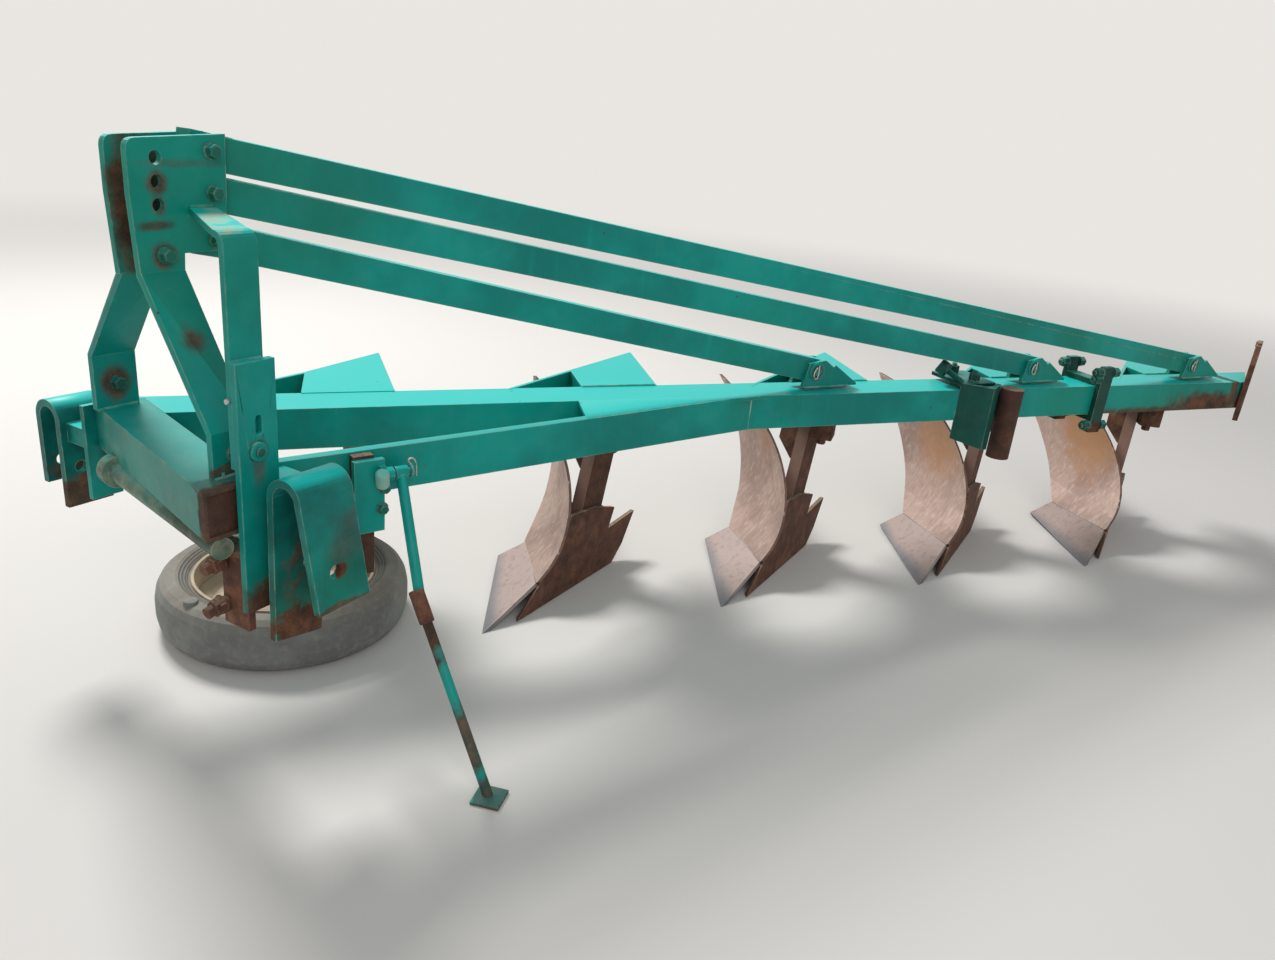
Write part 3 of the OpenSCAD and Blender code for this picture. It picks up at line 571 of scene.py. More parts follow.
# Where the enamel is worn or rusted: place in the drawing, reach in mm along x, y and z
TOWER_WEAR = (
    {"place": at(266, -40, 1171), "reach": (27, 20, 30), "depth": 0.9, "ragged": 1.3, "soft": 0.45},
    {"place": at(266, -40, 1130), "reach": (19, 20, 24), "depth": 0.8, "ragged": 1.3, "soft": 0.45},
    {"place": at(258, -40, 1093), "reach": (46, 20, 12), "depth": 0.75, "ragged": 1.8, "soft": 0.45},
    {"place": at(310, -40, 1206), "reach": (120, 20, 10), "depth": 0.35, "ragged": 2.6, "soft": 0.4},
    {"place": at(252, -120, 890), "reach": (34, 60, 36), "depth": 0.85, "ragged": 1.8, "soft": 0.45},
    {"place": at(266, 26, 1130), "reach": (64, 10, 170), "depth": 0.95, "ragged": 1.8, "soft": 0.3},
    {"place": at(327, 250, 712), "reach": (40, 20, 46), "depth": 0.9, "ragged": 1.5, "soft": 0.4},
    {"place": at(232, -258, 668), "reach": (60, 40, 16), "depth": 0.8},
    {"place": at(384, -40, 1229), "reach": (18, 8, 18), "depth": 0.5},
    {"place": at(270, -40, 1037), "reach": (34, 12, 30), "depth": 0.85, "ragged": 1.4, "soft": 0.4},
)
STRAP_WEAR = (
    {"place": at(307, -457, 488), "reach": (17, 14, 17), "depth": 1.0, "ragged": 1.2},
    {"place": at(270, -412, 470), "reach": (90, 28, 130), "depth": 0.95, "ragged": 2.4, "soft": 0.2},
    {"place": at(330, -457, 560), "reach": (60, 16, 60), "depth": 0.35, "ragged": 3.4, "soft": 0.4},
    {"place": at(270, -368, 345), "reach": (100, 24, 75), "depth": 0.95},
    {"place": at(310, -457, 405), "reach": (90, 16, 14), "depth": 0.75},
    {"place": at(310, 412, 470), "reach": (90, 28, 120), "depth": 0.9},
    {"place": at(310, 367, 420), "reach": (90, 24, 60), "depth": 0.9},
    {"place": at(310, 457, 400), "reach": (90, 24, 30), "depth": 0.8},
)
POST_WEAR = (
    {"place": at(228, -332, 700), "reach": (20, 6, 60), "depth": 0.5, "ragged": 2.4, "soft": 0.5},
    {"place": at(231, -332, 400), "reach": (60, 30, 60), "depth": 0.95, "ragged": 2.2, "soft": 0.3},
    {"place": at(228, -332, 723), "reach": (24, 6, 24), "depth": 0.6},
)
BEAM_WEAR = (
    {"place": on_beam(3560, -65, 575), "reach": (260, 40, 52), "turn": -BEAM_ANGLE, "depth": 0.95,
     "ragged": 2.0, "soft": 0.4},
    {"place": on_beam(3250, -65, 556), "reach": (340, 40, 24), "turn": -BEAM_ANGLE, "depth": 0.85,
     "ragged": 2.0, "soft": 0.4},
    {"place": on_beam(3600, 0, 560), "reach": (160, 90, 30), "turn": -BEAM_ANGLE, "depth": 0.9},
    {"place": on_beam(3690, 0, 600), "reach": (24, 140, 220), "turn": -BEAM_ANGLE, "depth": 0.85},
    {"place": on_beam(870, -65, 575), "reach": (34, 10, 10), "turn": -BEAM_ANGLE, "depth": 0.9},
)
CLAMP_WEAR = (
    {"place": on_beam(2992, -75, 500), "reach": (60, 60, 34), "depth": 1.0},
    {"place": on_beam(2992, 75, 500), "reach": (60, 60, 34), "depth": 1.0},
)
CROSS_WEAR = (
    {"place": at(152, -296, 606), "reach": (90, 26, 90), "depth": 0.9},
    {"place": at(190, -280, 656), "reach": (90, 44, 10), "depth": 0.45},
    {"place": at(312, 360, 640), "reach": (60, 50, 40), "depth": 0.6},
)

# Orange blooms on the boards: body, place from its share point, reach, depth
BLOOMS = tuple(
    {"place": on_body(k, x, y, z), "reach": reach, "depth": depth, "ragged": 1.8, "soft": 0.35}
    for k, x, y, z, reach, depth in (
        (3, 500, 150, 380, (220, 200, 200), 0.75), (4, 500, 170, 390, (260, 230, 220), 0.9),
        (2, 520, 200, 440, (160, 160, 150), 0.5)))


def bevel_edges(obj, radius):
    """Rounds the sharp edges by live modifiers, so that the mesh of a CAD node stays as it is."""
    weld = obj.modifiers.new("weld", "WELD")
    weld.merge_threshold = WELDED
    bevel = obj.modifiers.new("rounding", "BEVEL")
    bevel.width = radius
    bevel.segments = 2
    bevel.limit_method = "ANGLE"
    bevel.angle_limit = math.radians(32)
    bevel.harden_normals = True
    bevel.use_clamp_overlap = True


def round_off(obj, radius):
    """Rounds the sharp edges of a new piece for good."""
    bevel_edges(obj, radius)
    select(obj)
    for modifier in list(obj.modifiers):
        bpy.ops.object.modifier_apply(modifier=modifier.name)


class PLOUGH_OT_finishes(bpy.types.Operator):
    """Give every CAD piece its finish"""
    bl_idname = "plough.finishes"
    bl_label = "Finishes"

    def execute(self, context):
        s = sizes()
        beam = sprayed_enamel("sprayed_enamel_beams", BEAM_WEAR)
        cross = sprayed_enamel("scraped_enamel_cross_beam", CROSS_WEAR, 0.10, linear("#0a8a7d"),
                               linear("#0f6a5f"), 0.22)
        shaft = sprayed_enamel("faded_enamel_shaft", (), 0.5, linear("#4d7466"), linear("#4a4338"), 0.4)
        tower = sprayed_enamel("sprayed_enamel_tower", TOWER_WEAR)
        strap = sprayed_enamel("sprayed_enamel_straps", STRAP_WEAR, 0.06, None, linear("#08524d"))
        post = sprayed_enamel("sprayed_enamel_post", POST_WEAR)
        fitting = fitting_enamel()
        old = old_enamel()
        board = scoured_steel("scoured_mouldboard_steel")
        share = ground_share("ground_share_steel")
        # legs and landsides: 0.55 of painted highlight on the faces that look forward
        rust = forged_rust("forged_rusty_steel", -0.1, 0.55, 0.15)
        dark_rust = forged_rust("old_dark_rust", -0.35, 0.0, 0.5)
        tie = sprayed_enamel("dusty_tie_enamel", (), 1.3)
        clamp = sprayed_enamel("old_clamp_enamel", CLAMP_WEAR, 0.1, linear("#0a4038"), linear("#0c2f29"))
        pale_rust = dusty_metal()
        worn_by = (("main_beam", beam), ("short_beam", beam), ("cross_beam", cross),
                   ("cross_shaft", shaft), ("tower_plate", tower), ("tower_bolts", fitting),
                   ("brace_", fitting), ("leg_bracket", fitting), ("hitch_strap", strap),
                   ("post_plate", post), ("post_tie", tie), ("post_clamp", pale_rust),
                   ("stand_bracket", fitting), ("stand_stem", dark_rust), ("stand_tube", fitting),
                   ("stand_rod", fitting), ("beam_clamp", old), ("coulter_tube", dark_rust),
                   ("rear_clamp", clamp), ("leg_", rust), ("mouldboard", board), ("share", share),
                   ("landside", rust), ("wheel_leg", rust), ("wheel_rim", rim_paint("dusty_pressed_rim")),
                   ("tyre", dusty_rubber("dusty_moulded_rubber")))
        for name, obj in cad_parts.items():
            give(obj, next(material for prefix, material in worn_by if name.startswith(prefix)))
            if name not in ("tyre", "wheel_rim"):
                bevel_edges(obj, s.edge_radius)
        return {"FINISHED"}


def clear():
    """Nothing stays selected, so that the next operator acts on its own piece."""
    bpy.ops.object.select_all(action="DESELECT")


def select(obj):
    """Only this piece is selected and active."""
    clear()
    obj.select_set(True)
    bpy.context.view_layer.objects.active = obj


def pick(test, kind="FACE"):
    """In edit mode, selects the faces, edges or corners for which the test is true."""
    bpy.ops.mesh.select_mode(type=kind)
    bpy.ops.mesh.select_all(action="DESELECT")
    data = bpy.context.object.data
    mesh = bmesh.from_edit_mesh(data)
    parts = {"FACE": mesh.faces, "EDGE": mesh.edges, "VERT": mesh.verts}[kind]
    for part in parts:
        if test(part):
            part.select_set(True)
    bmesh.update_edit_mesh(data)


def round_bar(radius, height, sides=24, bevel=0.0):
    """Upright round bar on z = 0 with its ends turned off."""
    clear()
    bpy.ops.mesh.primitive_cylinder_add(vertices=sides, radius=radius, depth=height,
                                        location=(0, 0, height / 2))
    obj = bpy.context.object
    bpy.ops.object.transform_apply(location=True)
    if bevel:
        bpy.ops.object.mode_set(mode="EDIT")
        pick(lambda f: abs(f.normal.z) > 0.9)
        bpy.ops.mesh.region_to_loop()
        bpy.ops.mesh.bevel(offset=bevel, segments=2, affect="EDGES")
        bpy.ops.object.mode_set(mode="OBJECT")
    return obj


def hexagon(across, height):
    """Hexagon nut or head on z = 0, its upper corners turned off as on a lathe."""
    obj = round_bar(across / math.sqrt(3), height, 6)
    bpy.ops.object.mode_set(mode="EDIT")
    pick(lambda f: f.normal.z > 0.9)
    bpy.ops.mesh.inset(thickness=across * 0.07, depth=height * 0.12)
    bpy.ops.object.mode_set(mode="OBJECT")
    return obj


def thread(radius, height, pitch):
    """Threaded end on z = 0, as ridges one pitch apart."""
    obj = round_bar(radius, pitch / 2, 16)
    bpy.ops.object.mode_set(mode="EDIT")
    pick(lambda f: f.normal.z > 0.9)
    for _ in range(int(height / pitch) - 1):
        for scale in (0.8, 1 / 0.8):
            bpy.ops.mesh.extrude_region_move(TRANSFORM_OT_translate={"value": (0, 0, pitch / 2)})
            bpy.ops.transform.resize(value=(scale, scale, 1))
    bpy.ops.mesh.extrude_region_move(TRANSFORM_OT_translate={"value": (0, 0, pitch / 2)})
    bpy.ops.transform.resize(value=(0.75, 0.75, 1))
    bpy.ops.object.mode_set(mode="OBJECT")
    return obj


def lift(obj, height):
    """Moves a piece up, in its mesh."""
    obj.data.transform(Matrix.Translation((0, 0, height)))
    return obj


def join(parts):
    """One piece of several."""
    clear()
    for part in parts:
        part.select_set(True)
    bpy.context.view_layer.objects.active = parts[0]
    if len(parts) > 1:
        bpy.ops.object.join()
    return parts[0]


def bolt(across, washer=1.25, head=0.62, end=0.0):
    """Washer, hexagon and, if asked, the threaded end that stands out of the nut, along +Z."""
    parts = [round_bar(across / 2 * washer, across * 0.10, 28, across * 0.02),
             lift(hexagon(across, across * head), across * 0.10)]
    if end:
        parts.append(lift(thread(across * 0.30, end, across * 0.12), across * (0.10 + head)))
    return join(parts)


def put(pattern, place, axis, spin=0.0):
    """A copy of a pattern, with its own mesh, stood on a place along an axis."""
    copy = bpy.data.objects.new(pattern.name, pattern.data.copy())
    bpy.context.scene.collection.objects.link(copy)
    return stand(copy, place, axis, spin)


def stand(obj, place, axis, spin=0.0):
    """Moves a piece, in its mesh, onto a place along an axis."""
    turn = Vector(axis).to_track_quat("Z", "Y").to_matrix().to_4x4()
    obj.data.transform(Matrix.Translation(place) @ turn @ Matrix.Rotation(spin, 4, "Z"))
    return obj


def set_in_place(name, parts, material, body="frame"):
    """Joins parts to one named piece, dresses it and lets it ride on its body."""
    piece = join(parts)
    piece.name = name
    give(piece, material)
    select(piece)
    bpy.ops.object.shade_smooth_by_angle(angle=math.radians(35))
    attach(piece, body)
    return piece


def drop(*patterns):
    """Takes the patterns away once they are copied."""
    for pattern in patterns:
        bpy.data.objects.remove(pattern, do_unlink=True)


def slab(size, place, turn=0.0, ease=1.5):
    """Plate of this size in mm, centred on a place, turned about the upright, with eased edges."""
    clear()
    bpy.ops.mesh.primitive_cube_add(size=1, scale=[side * MM for side in size])
    obj = bpy.context.object
    bpy.ops.object.transform_apply(scale=True)
    bpy.ops.object.mode_set(mode="EDIT")
    bpy.ops.mesh.select_all(action="SELECT")
    bpy.ops.mesh.bevel(offset=ease * MM, segments=2, affect="EDGES")
    bpy.ops.object.mode_set(mode="OBJECT")
    obj.data.transform(Matrix.Translation(place) @ Matrix.Rotation(turn, 4, "Z"))
    return obj


def merged_copy(node_name, name):
    """A copy of a CAD node's mesh with its loose triangles merged, in the node's finish."""
    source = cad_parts[node_name]
    obj = bpy.data.objects.new(name, source.data.copy())
    bpy.context.scene.collection.objects.link(obj)
    select(obj)
    bpy.ops.object.mode_set(mode="EDIT")
    bpy.ops.mesh.select_all(action="SELECT")
    bpy.ops.mesh.remove_doubles(threshold=WELDED)
    bpy.ops.object.mode_set(mode="OBJECT")
    give(obj, source.data.materials[0])
    return obj


def stand_for(obj, node_name, body="frame"):
    """The piece takes the place of a CAD node."""
    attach(obj, body)
    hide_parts(node_name)


def plate(outline, low, high, ease=1.5):
    """Level plate with this outline, from one height to another, in mm."""
    clear()
    bpy.ops.mesh.primitive_circle_add(vertices=len(outline), fill_type="NGON")
    obj = bpy.context.object
    for corner, place in zip(obj.data.vertices, outline):
        corner.co = (place.x, place.y, low * MM)
    bpy.ops.object.mode_set(mode="EDIT")
    bpy.ops.mesh.select_all(action="SELECT")
    bpy.ops.mesh.extrude_region_move(TRANSFORM_OT_translate={"value": (0, 0, (high - low) * MM)})
    bpy.ops.mesh.select_all(action="SELECT")
    bpy.ops.mesh.normals_make_consistent(inside=False)
    bpy.ops.mesh.bevel(offset=ease * MM, segments=2, affect="EDGES")
    bpy.ops.object.mode_set(mode="OBJECT")
    return obj


def cut(obj, place, normal, fill=True):
    """Cuts off what lies beyond a plane, and closes the cut if asked."""
    select(obj)
    bpy.ops.object.mode_set(mode="EDIT")
    bpy.ops.mesh.select_all(action="SELECT")
    bpy.ops.mesh.bisect(plane_co=place, plane_no=normal, clear_outer=True)
    if fill:
        bpy.ops.mesh.fill(use_beauty=False)
    bpy.ops.object.mode_set(mode="OBJECT")
    return obj


def wire(points, radius):
    """Bent round wire through these places."""
    curve = bpy.data.curves.new("wire", "CURVE")
    curve.dimensions = "3D"
    curve.bevel_depth = radius
    curve.bevel_resolution = 2
    curve.use_fill_caps = True
    spline = curve.splines.new("NURBS")
    spline.points.add(len(points) - 1)
    for point, place in zip(spline.points, points):
        point.co = (*place, 1)
    spline.use_endpoint_u = True
    spline.order_u = 3
    obj = bpy.data.objects.new("wire", curve)
    bpy.context.scene.collection.objects.link(obj)
    select(obj)
    bpy.ops.object.convert(target="MESH")
    return bpy.context.object


def bead(first, last, width=None):
    """Weld bead from first to last, as overlapping ripples."""
    width = width or sizes().bead
    run = Vector(last) - Vector(first)
    pitch = width * 0.4
    clear()
    bpy.ops.mesh.primitive_uv_sphere_add(segments=8, ring_count=5, radius=width / 2)
    obj = bpy.context.object
    obj.data.transform(Matrix.Diagonal((0.6, 1.0, 0.8, 1.0)))
    ripples = obj.modifiers.new("ripples", "ARRAY")
    ripples.use_relative_offset = False
    ripples.use_constant_offset = True
    ripples.constant_offset_displace = (pitch, 0, 0)
    ripples.count = max(2, int(run.length / pitch))
    bpy.ops.object.modifier_apply(modifier="ripples")
    turn = run.to_track_quat("X", "Z").to_matrix().to_4x4()
    obj.data.transform(Matrix.Translation(first) @ turn)
    return obj


def along(first, last, share):
    """The place between two places."""
    return Vector(first).lerp(Vector(last), share)


def near_side(way):
    """The level direction square to this one that points to the near side of the plough."""
    square = Vector((way.y, -way.x, 0))
    return square if square.y < 0 else -square


def out_of_short_beam():
    """The level direction out of the near face of the short beam."""
    return -Vector((math.sin(SHORT_ANGLE), math.cos(SHORT_ANGLE), 0))


class PLOUGH_OT_channel_beam(bpy.types.Operator):
    """Model the short beam as a rolled channel, the plate where it meets the long beam, and the end of
    the cross beam"""
    bl_idname = "plough.channel_beam"
    bl_label = "Channel beam"

    def execute(self, context):
        flange = 24
        channel = merged_copy("short_beam", "channel_beam")
        cut(channel, on_short(0, flange - SHORT_W / 2, PLATE_FOOT), -out_of_short_beam())
        round_off(channel, sizes().edge_radius)
        stand_for(channel, "short_beam")
        inset = SHORT_W / 2 - 6
        corner = plate([on_beam(1092, -62, 0), on_short(905, -inset, 0), on_short(1330, -inset, 0),
                        on_beam(1700, -60, 0)], PLATE_FOOT, FRAME_TOP + 1)
        set_in_place("beam_joint_plate", [corner], fitting_enamel())
        end_plate = slab((100, 5, 97), at(184, -294, 606))
        set_in_place("cross_beam_end_plate", [end_plate], bpy.data.materials["old_dark_rust"])
        return {"FINISHED"}


class PLOUGH_OT_open_brackets(bpy.types.Operator):
    """Model the leg brackets open in front, with the top plate level with the beam"""
    bl_idname = "plough.open_brackets"
    bl_label = "Open brackets"

    def execute(self, context):
        outward = Vector((0.655, -0.755, 0))
        enamel = fitting_enamel()
        cheek_top = 600
        web_low, web_high = cheek_top - 5, PLATE_FOOT + 1
        face = 60
        rail_in, rail_out = 59.5, 70.5
        for k in range(5):
            first = k == 0
            name = "leg_bracket_%d" % (k + 1)
            cheeks = merged_copy(name, name + "_cheeks")
            cut(cheeks, at(0, 0, cheek_top), (0, 0, 1))
            cut(cheeks, on_body(k, 801, 68, cheek_top), outward)
            if first:
                cut(cheeks, on_beam(652, 300, cheek_top), flat(BEAM_ANGLE))
            u, v = [step * (k - 1) for step in BRACKET_STEP]
            far_u, far_v = (660, 455) if first else (1452 + u, 440 + v)
            rail_end = 705 if first else 790
            parts = [
                plate([on_beam(1146 + u, face, 0), on_beam(1173 + u, 235 + v, 0), on_beam(far_u, far_v, 0),
                       on_beam(1375 + u, face, 0)], PLATE_FOOT, FRAME_TOP + 2),
                plate([on_body(k, 150, rail_in, 0), on_body(k, rail_end, rail_in, 0),
                       on_body(k, rail_end, rail_out, 0), on_body(k, 164, rail_out, 0)],
                      cheek_top - 30, FRAME_TOP + 1),
                plate([on_beam(1148 + u, face, 0), on_beam(1175 + u, 235 + v, 0),
                       on_beam(1187 + u, 233 + v, 0), on_beam(1160 + u, face, 0)], web_low, web_high),
                plate([on_beam(1361 + u, face, 0), on_beam(far_u - 16, far_v, 0),
                       on_beam(far_u - 2, far_v - 2, 0), on_beam(1374 + u, face, 0)], web_low, web_high)]
            for part in parts:
                give(part, enamel)
            piece = join([cheeks] + parts)
            round_off(piece, 1 * MM)
            piece.name = "open_bracket_%d" % (k + 1)
            stand_for(piece, name)
        return {"FINISHED"}


class PLOUGH_OT_bent_tie(bpy.types.Operator):
    """Model the tie of the front post as one bar, bent over at its top"""
    bl_idname = "plough.bent_tie"
    bl_label = "Bent tie"

    def execute(self, context):
        thick, inner, top, foot = 13.4, 12, 1124, 690
        front, rear = 189.5, 261.5
        middle, width, end_width = (front + rear) / 2, rear - front, 60
        bend = top - thick - inner
        clear()
        bpy.ops.mesh.primitive_cube_add(
            size=1, location=at(middle, TIE_BACK + thick / 2, (bend + foot) / 2),
            scale=(width * MM, thick * MM, (bend - foot) * MM))
        tie = context.object
        bpy.ops.object.transform_apply(location=True, scale=True)
        bpy.ops.object.mode_set(mode="EDIT")
        pick(lambda f: f.normal.z > 0.9)
        bpy.ops.mesh.spin(steps=6, angle=math.pi / 2, axis=(1, 0, 0),
                          center=at(middle, TIE_BACK + thick + inner, bend))
        bpy.ops.mesh.extrude_region_move(TRANSFORM_OT_translate={"value": (134.5 * MM, 251 * MM, 0)})
        bpy.ops.transform.resize(value=(end_width / width, 1, 1))
        bpy.ops.mesh.select_all(action="SELECT")
        bpy.ops.mesh.remove_doubles(threshold=WELDED)
        bpy.ops.mesh.normals_make_consistent(inside=False)
        bpy.ops.object.mode_set(mode="OBJECT")
        boss = stand(round_bar(19 * MM, 21.4 * MM, 32, 2 * MM),
                     at(POST_BOSS[0], TIE_BACK + 0.1, POST_BOSS[1]), (0, -1, 0))
        tie = join([tie, boss])
        tie.name = "bent_post_tie"
        give(tie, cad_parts["post_tie"].data.materials[0])
        round_off(tie, 1.2 * MM)
        stand_for(tie, "post_tie")
        return {"FINISHED"}


class PLOUGH_OT_stand_leg(bpy.types.Operator):
    """Model the slim two part leg of the parking stand"""
    bl_idname = "plough.stand_leg"
    bl_label = "Stand leg"

    def execute(self, context):
        head = on_short(387.5, -STAND_OUT, STAND_HINGE_Z)
        knee = at(469, -520, 365)
        foot = at(432, -750, 0)
        overlap, sole_thick = 20 * MM, 8 * MM
        upper_way = (head - knee).normalized()
        lower_way = (knee - foot).normalized()
        upper = stand(round_bar(11.5 * MM, (head - knee).length - overlap, 24, 1 * MM),
                      knee + upper_way * overlap, upper_way)
        hinge_way = flat(SHORT_ANGLE)
        eye = stand(round_bar(14 * MM, 30 * MM, 28, 2 * MM), head - hinge_way * 15 * MM, hinge_way)
        tube = set_in_place("stand_upper_tube", [upper, eye], fitting_enamel(), "stand")
        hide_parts("stand_tube")
        lower = stand(round_bar(11 * MM, (knee - foot).length - sole_thick, 24, 1 * MM),
                      foot + lower_way * 6 * MM, lower_way)
        sole = slab((64, 64, 8), foot + UP * sole_thick / 2, 0.3, 2)
        chips = [{"place": along(foot, knee, share), "reach": (70, 70, high), "depth": depth,
                  "ragged": 3.4, "soft": 0.3}
                 for share, high, depth in ((0.0, 60, 0.75), (0.30, 130, 0.85), (0.85, 150, 0.95))]
        patchy = sprayed_enamel("chipped_stand_enamel", chips, 0.06, None, linear("#0a4f49"))
        rod = set_in_place("stand_lower_rod", [lower, sole], patchy, "stand")
        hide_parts("stand_rod")
        sleeve = stand(round_bar(16.5 * MM, 74 * MM, 28, 3 * MM), knee - lower_way * 40 * MM, lower_way)
        set_in_place("stand_sleeve", [sleeve], forged_rust("rusty_sleeve_steel"), "stand")
        return {"FINISHED"}


class PLOUGH_OT_tower_fasteners(bpy.types.Operator):
    """Model the bolts of the tower and of its feet"""
    bl_idname = "plough.tower_fasteners"
    bl_label = "Tower fasteners"

    def execute(self, context):
        across = sizes().bolt_across
        head = bolt(across, 1.3)
        nut = bolt(across, 1.3, 0.7, 9 * MM)
        to_near, to_far = (0, -1, 0), (0, 1, 0)
        parts = []
        for i, (x, z) in enumerate(TOWER_BOLTS):
            parts.append(put(head, at(x, -TOWER_FACE, z), to_near, 0.4 * i))
            parts.append(put(nut, at(x, TOWER_FACE, z), to_far, 0.3 * i))
        x, z = FAR_FOOT_BOLT
        parts.append(put(head, at(x, 250, z), to_near, 0.2))
        parts.append(put(nut, at(x, 264, z), to_far, 0.5))
        parts.append(put(nut, at(231, -258, 700), to_near, 0.2))
        set_in_place("tower_bolt_heads", parts, bolt_enamel())
        drop(head, nut)
        return {"FINISHED"}


class PLOUGH_OT_brace_pins(bpy.types.Operator):
    """Model the collars, bosses and split pins of the brace pins"""
    bl_idname = "plough.brace_pins"
    bl_label = "Brace pins"

    def execute(self, context):
        boss_out, collar_out, end_out = 32.7 * MM, 36.5 * MM, 42 * MM
        boss = round_bar(27 * MM, 4 * MM, 32, 1 * MM)
        collar = round_bar(17 * MM, 4 * MM, 24, 1 * MM)
        bosses, collars, clips = [], [], []
        for u in BRACE_PINS:
            pin = on_beam(u, 0, PIN_Z)
            ahead = (at(TAB_X, 0, PIN_Z) - pin).normalized()
            near = near_side(ahead)
            for side in (near, -near):
                bosses.append(put(boss, pin + side * boss_out, side))
                collars.append(put(collar, pin + side * collar_out, side))
            end = pin + near * end_out
            bends = ((20, 0), (2, 0), (-16, 0), (-22, 8), (-12, 17), (4, 15), (14, 6))
            clips.append(wire([end + (UP * high + ahead * forward) * MM for high, forward in bends],
                              2.2 * MM))
        plated = dull_plate("plated_clip_wire", "#c4c2ba", 0.4, 0.8)
        set_in_place("brace_pin_bosses", bosses, fitting_enamel())
        set_in_place("brace_pin_collars", collars, dull_plate("oiled_collar_steel", "#4b4a45"))
        set_in_place("brace_pin_clips", clips, plated)
        drop(boss, collar)
        return {"FINISHED"}


class PLOUGH_OT_weld_beads(bpy.types.Operator):
    """Model the weld beads of the frame"""
    bl_idname = "plough.weld_beads"
    bl_label = "Weld beads"

    def execute(self, context):
        seam = FRAME_TOP + 1
        small, slim = 8 * MM, 7 * MM
        parts = [bead(at(188, -259, seam), at(272, -259, seam)),
                 bead(at(280, 249, seam), at(374, 249, seam)),
                 bead(at(333, -41, 1126), at(386, -41, 1126)),
                 bead(at(205, -259, 665), at(205, -259, seam))]
        # the tie's bead has two runs, half a millimetre apart
        for y in (TIE_BACK + 0.7, TIE_BACK + 0.2):
            parts.append(bead(at(191, y, 896), at(260, y, 896), small))
        for k in (1, 2, 3, 4):
            u = 1150 + BRACKET_STEP[0] * (k - 1)
            parts.append(bead(on_beam(u, 64, seam + 1), on_beam(u + 222, 64, seam + 1), slim))
        ear_out, ear_front, ear_back = 34 * MM, 42 * MM, 130 * MM
        for u in BRACE_PINS:
            foot = on_beam(u, 0, 669)
            back = (foot - at(TAB_X, 0, 669)).normalized()
            near = near_side(back)
            for side in (near, -near):
                parts.append(bead(foot + side * ear_out - back * ear_front,
                                  foot + side * ear_out + back * ear_back))
        near_cross = CROSS_START[0] + 103 / math.sin(CROSS_ANGLE)
        parts.append(bead(at(near_cross + 6, -282, seam), at(near_cross + 36, -180, seam), small))
        set_in_place("frame_weld_beads", parts, fitting_enamel())
        return {"FINISHED"}


class PLOUGH_OT_post_details(bpy.types.Operator):
    """Model the boss head, the tie's stop and the clamp nuts of the front post"""
    bl_idname = "plough.post_details"
    bl_label = "Post details"

    def execute(self, context):
        ring = stand(round_bar(10 * MM, 5 * MM, 24, 2 * MM), at(POST_BOSS[0], -338, POST_BOSS[1]), (0, -1, 0))
        set_in_place("post_boss_head", [ring], bolt_enamel())
        stop = stand(round_bar(6 * MM, 14 * MM, 20, 4 * MM), at(196, -308, 822), (-1, 0, 0))
        set_in_place("tie_stop", [stop], dull_plate("plated_stop_steel", "#c4c2ba", 0.4, 0.8))
        stud_nut = bolt(32 * MM, 1.25)
        parts = [put(stud_nut, at(193, -251, z), (-1, 0, -0.22), 0.3) for z in (484, 390)]
        parts.append(slab((62, 90, 9), at(214, -272, 512), 0.2))
        set_in_place("post_clamp_nuts", parts, dusty_metal())
        drop(stud_nut)
        return {"FINISHED"}


class PLOUGH_OT_stand_details(bpy.types.Operator):
    """Model the bolts of the stand's bracket and the clip of its pin"""
    bl_idname = "plough.stand_details"
    bl_label = "Stand details"

    def execute(self, context):
        out = out_of_short_beam()
        back = flat(SHORT_ANGLE)
        face = -SHORT_W / 2 - 36.6
        nut = bolt(19 * MM, 1.5)
        parts = [put(nut, on_short(344, face, 533), out, 0.3), put(nut, on_short(348, face, 580), out, 0.1)]
        set_in_place("stand_bracket_bolts", parts, bolt_enamel())
        lean = (out * 0.5 - back * 0.25 + UP * 0.9).normalized()
        stud = stand(thread(15 * MM, 40 * MM, 8 * MM), on_short(343, face - 6, 590), lean)
        set_in_place("stand_bracket_stud", [stud], pale_enamel())
        pin = on_short(424, -STAND_OUT, STAND_HINGE_Z)
        bends = ((-14, 0), (10, 0), (24, 4), (30, 14), (22, 22), (14, 12))
        clip = wire([pin + (UP * high - back * forward) * MM for high, forward in bends], 2 * MM)
        plated = dull_plate("plated_hook_wire", "#c4c2ba", 0.4, 0.8)
        set_in_place("stand_pin_clip", [clip], plated)
        drop(nut)
        return {"FINISHED"}


class PLOUGH_OT_clamp_details(bpy.types.Operator):
    """Model the screws and nuts of the two clamps on the long beam"""
    bl_idname = "plough.clamp_details"
    bl_label = "Clamp details"

    def execute(self, context):
        root = on_beam(2384, -62, 680)
        top = on_beam(2351, -2, 712)
        screw = stand(round_bar(9 * MM, (top - root).length, 16, 1 * MM), root, top - root)
        square = stand(slab((46, 46, 30), (0, 0, 0), 0.3, 4), top, top - root)
        jaw_nut = bolt(30 * MM, 1.2, 0.7, 14 * MM)
        back = flat(BEAM_ANGLE)
        jaw_front, jaw_rear, jaw_v = 2967, 3017, 75
        parts = [screw, square]
        for v in (-50, 50):
            parts.append(put(jaw_nut, on_beam(2440, v, 680), (0, 0, 1), 0.2))
        for v, z in ((-jaw_v, 706), (jaw_v, 706), (-jaw_v, 520), (jaw_v, 520)):
            parts.append(put(jaw_nut, on_beam(jaw_front, v, z), -back, 0.4))
            parts.append(put(jaw_nut, on_beam(jaw_rear, v, z), back, 0.1))
        parts.append(put(jaw_nut, on_beam(jaw_front, -jaw_v, 684), -back, 0.9))
        set_in_place("clamp_screws", parts, old_enamel("old_enamel_screws"))
        drop(jaw_nut)
        return {"FINISHED"}


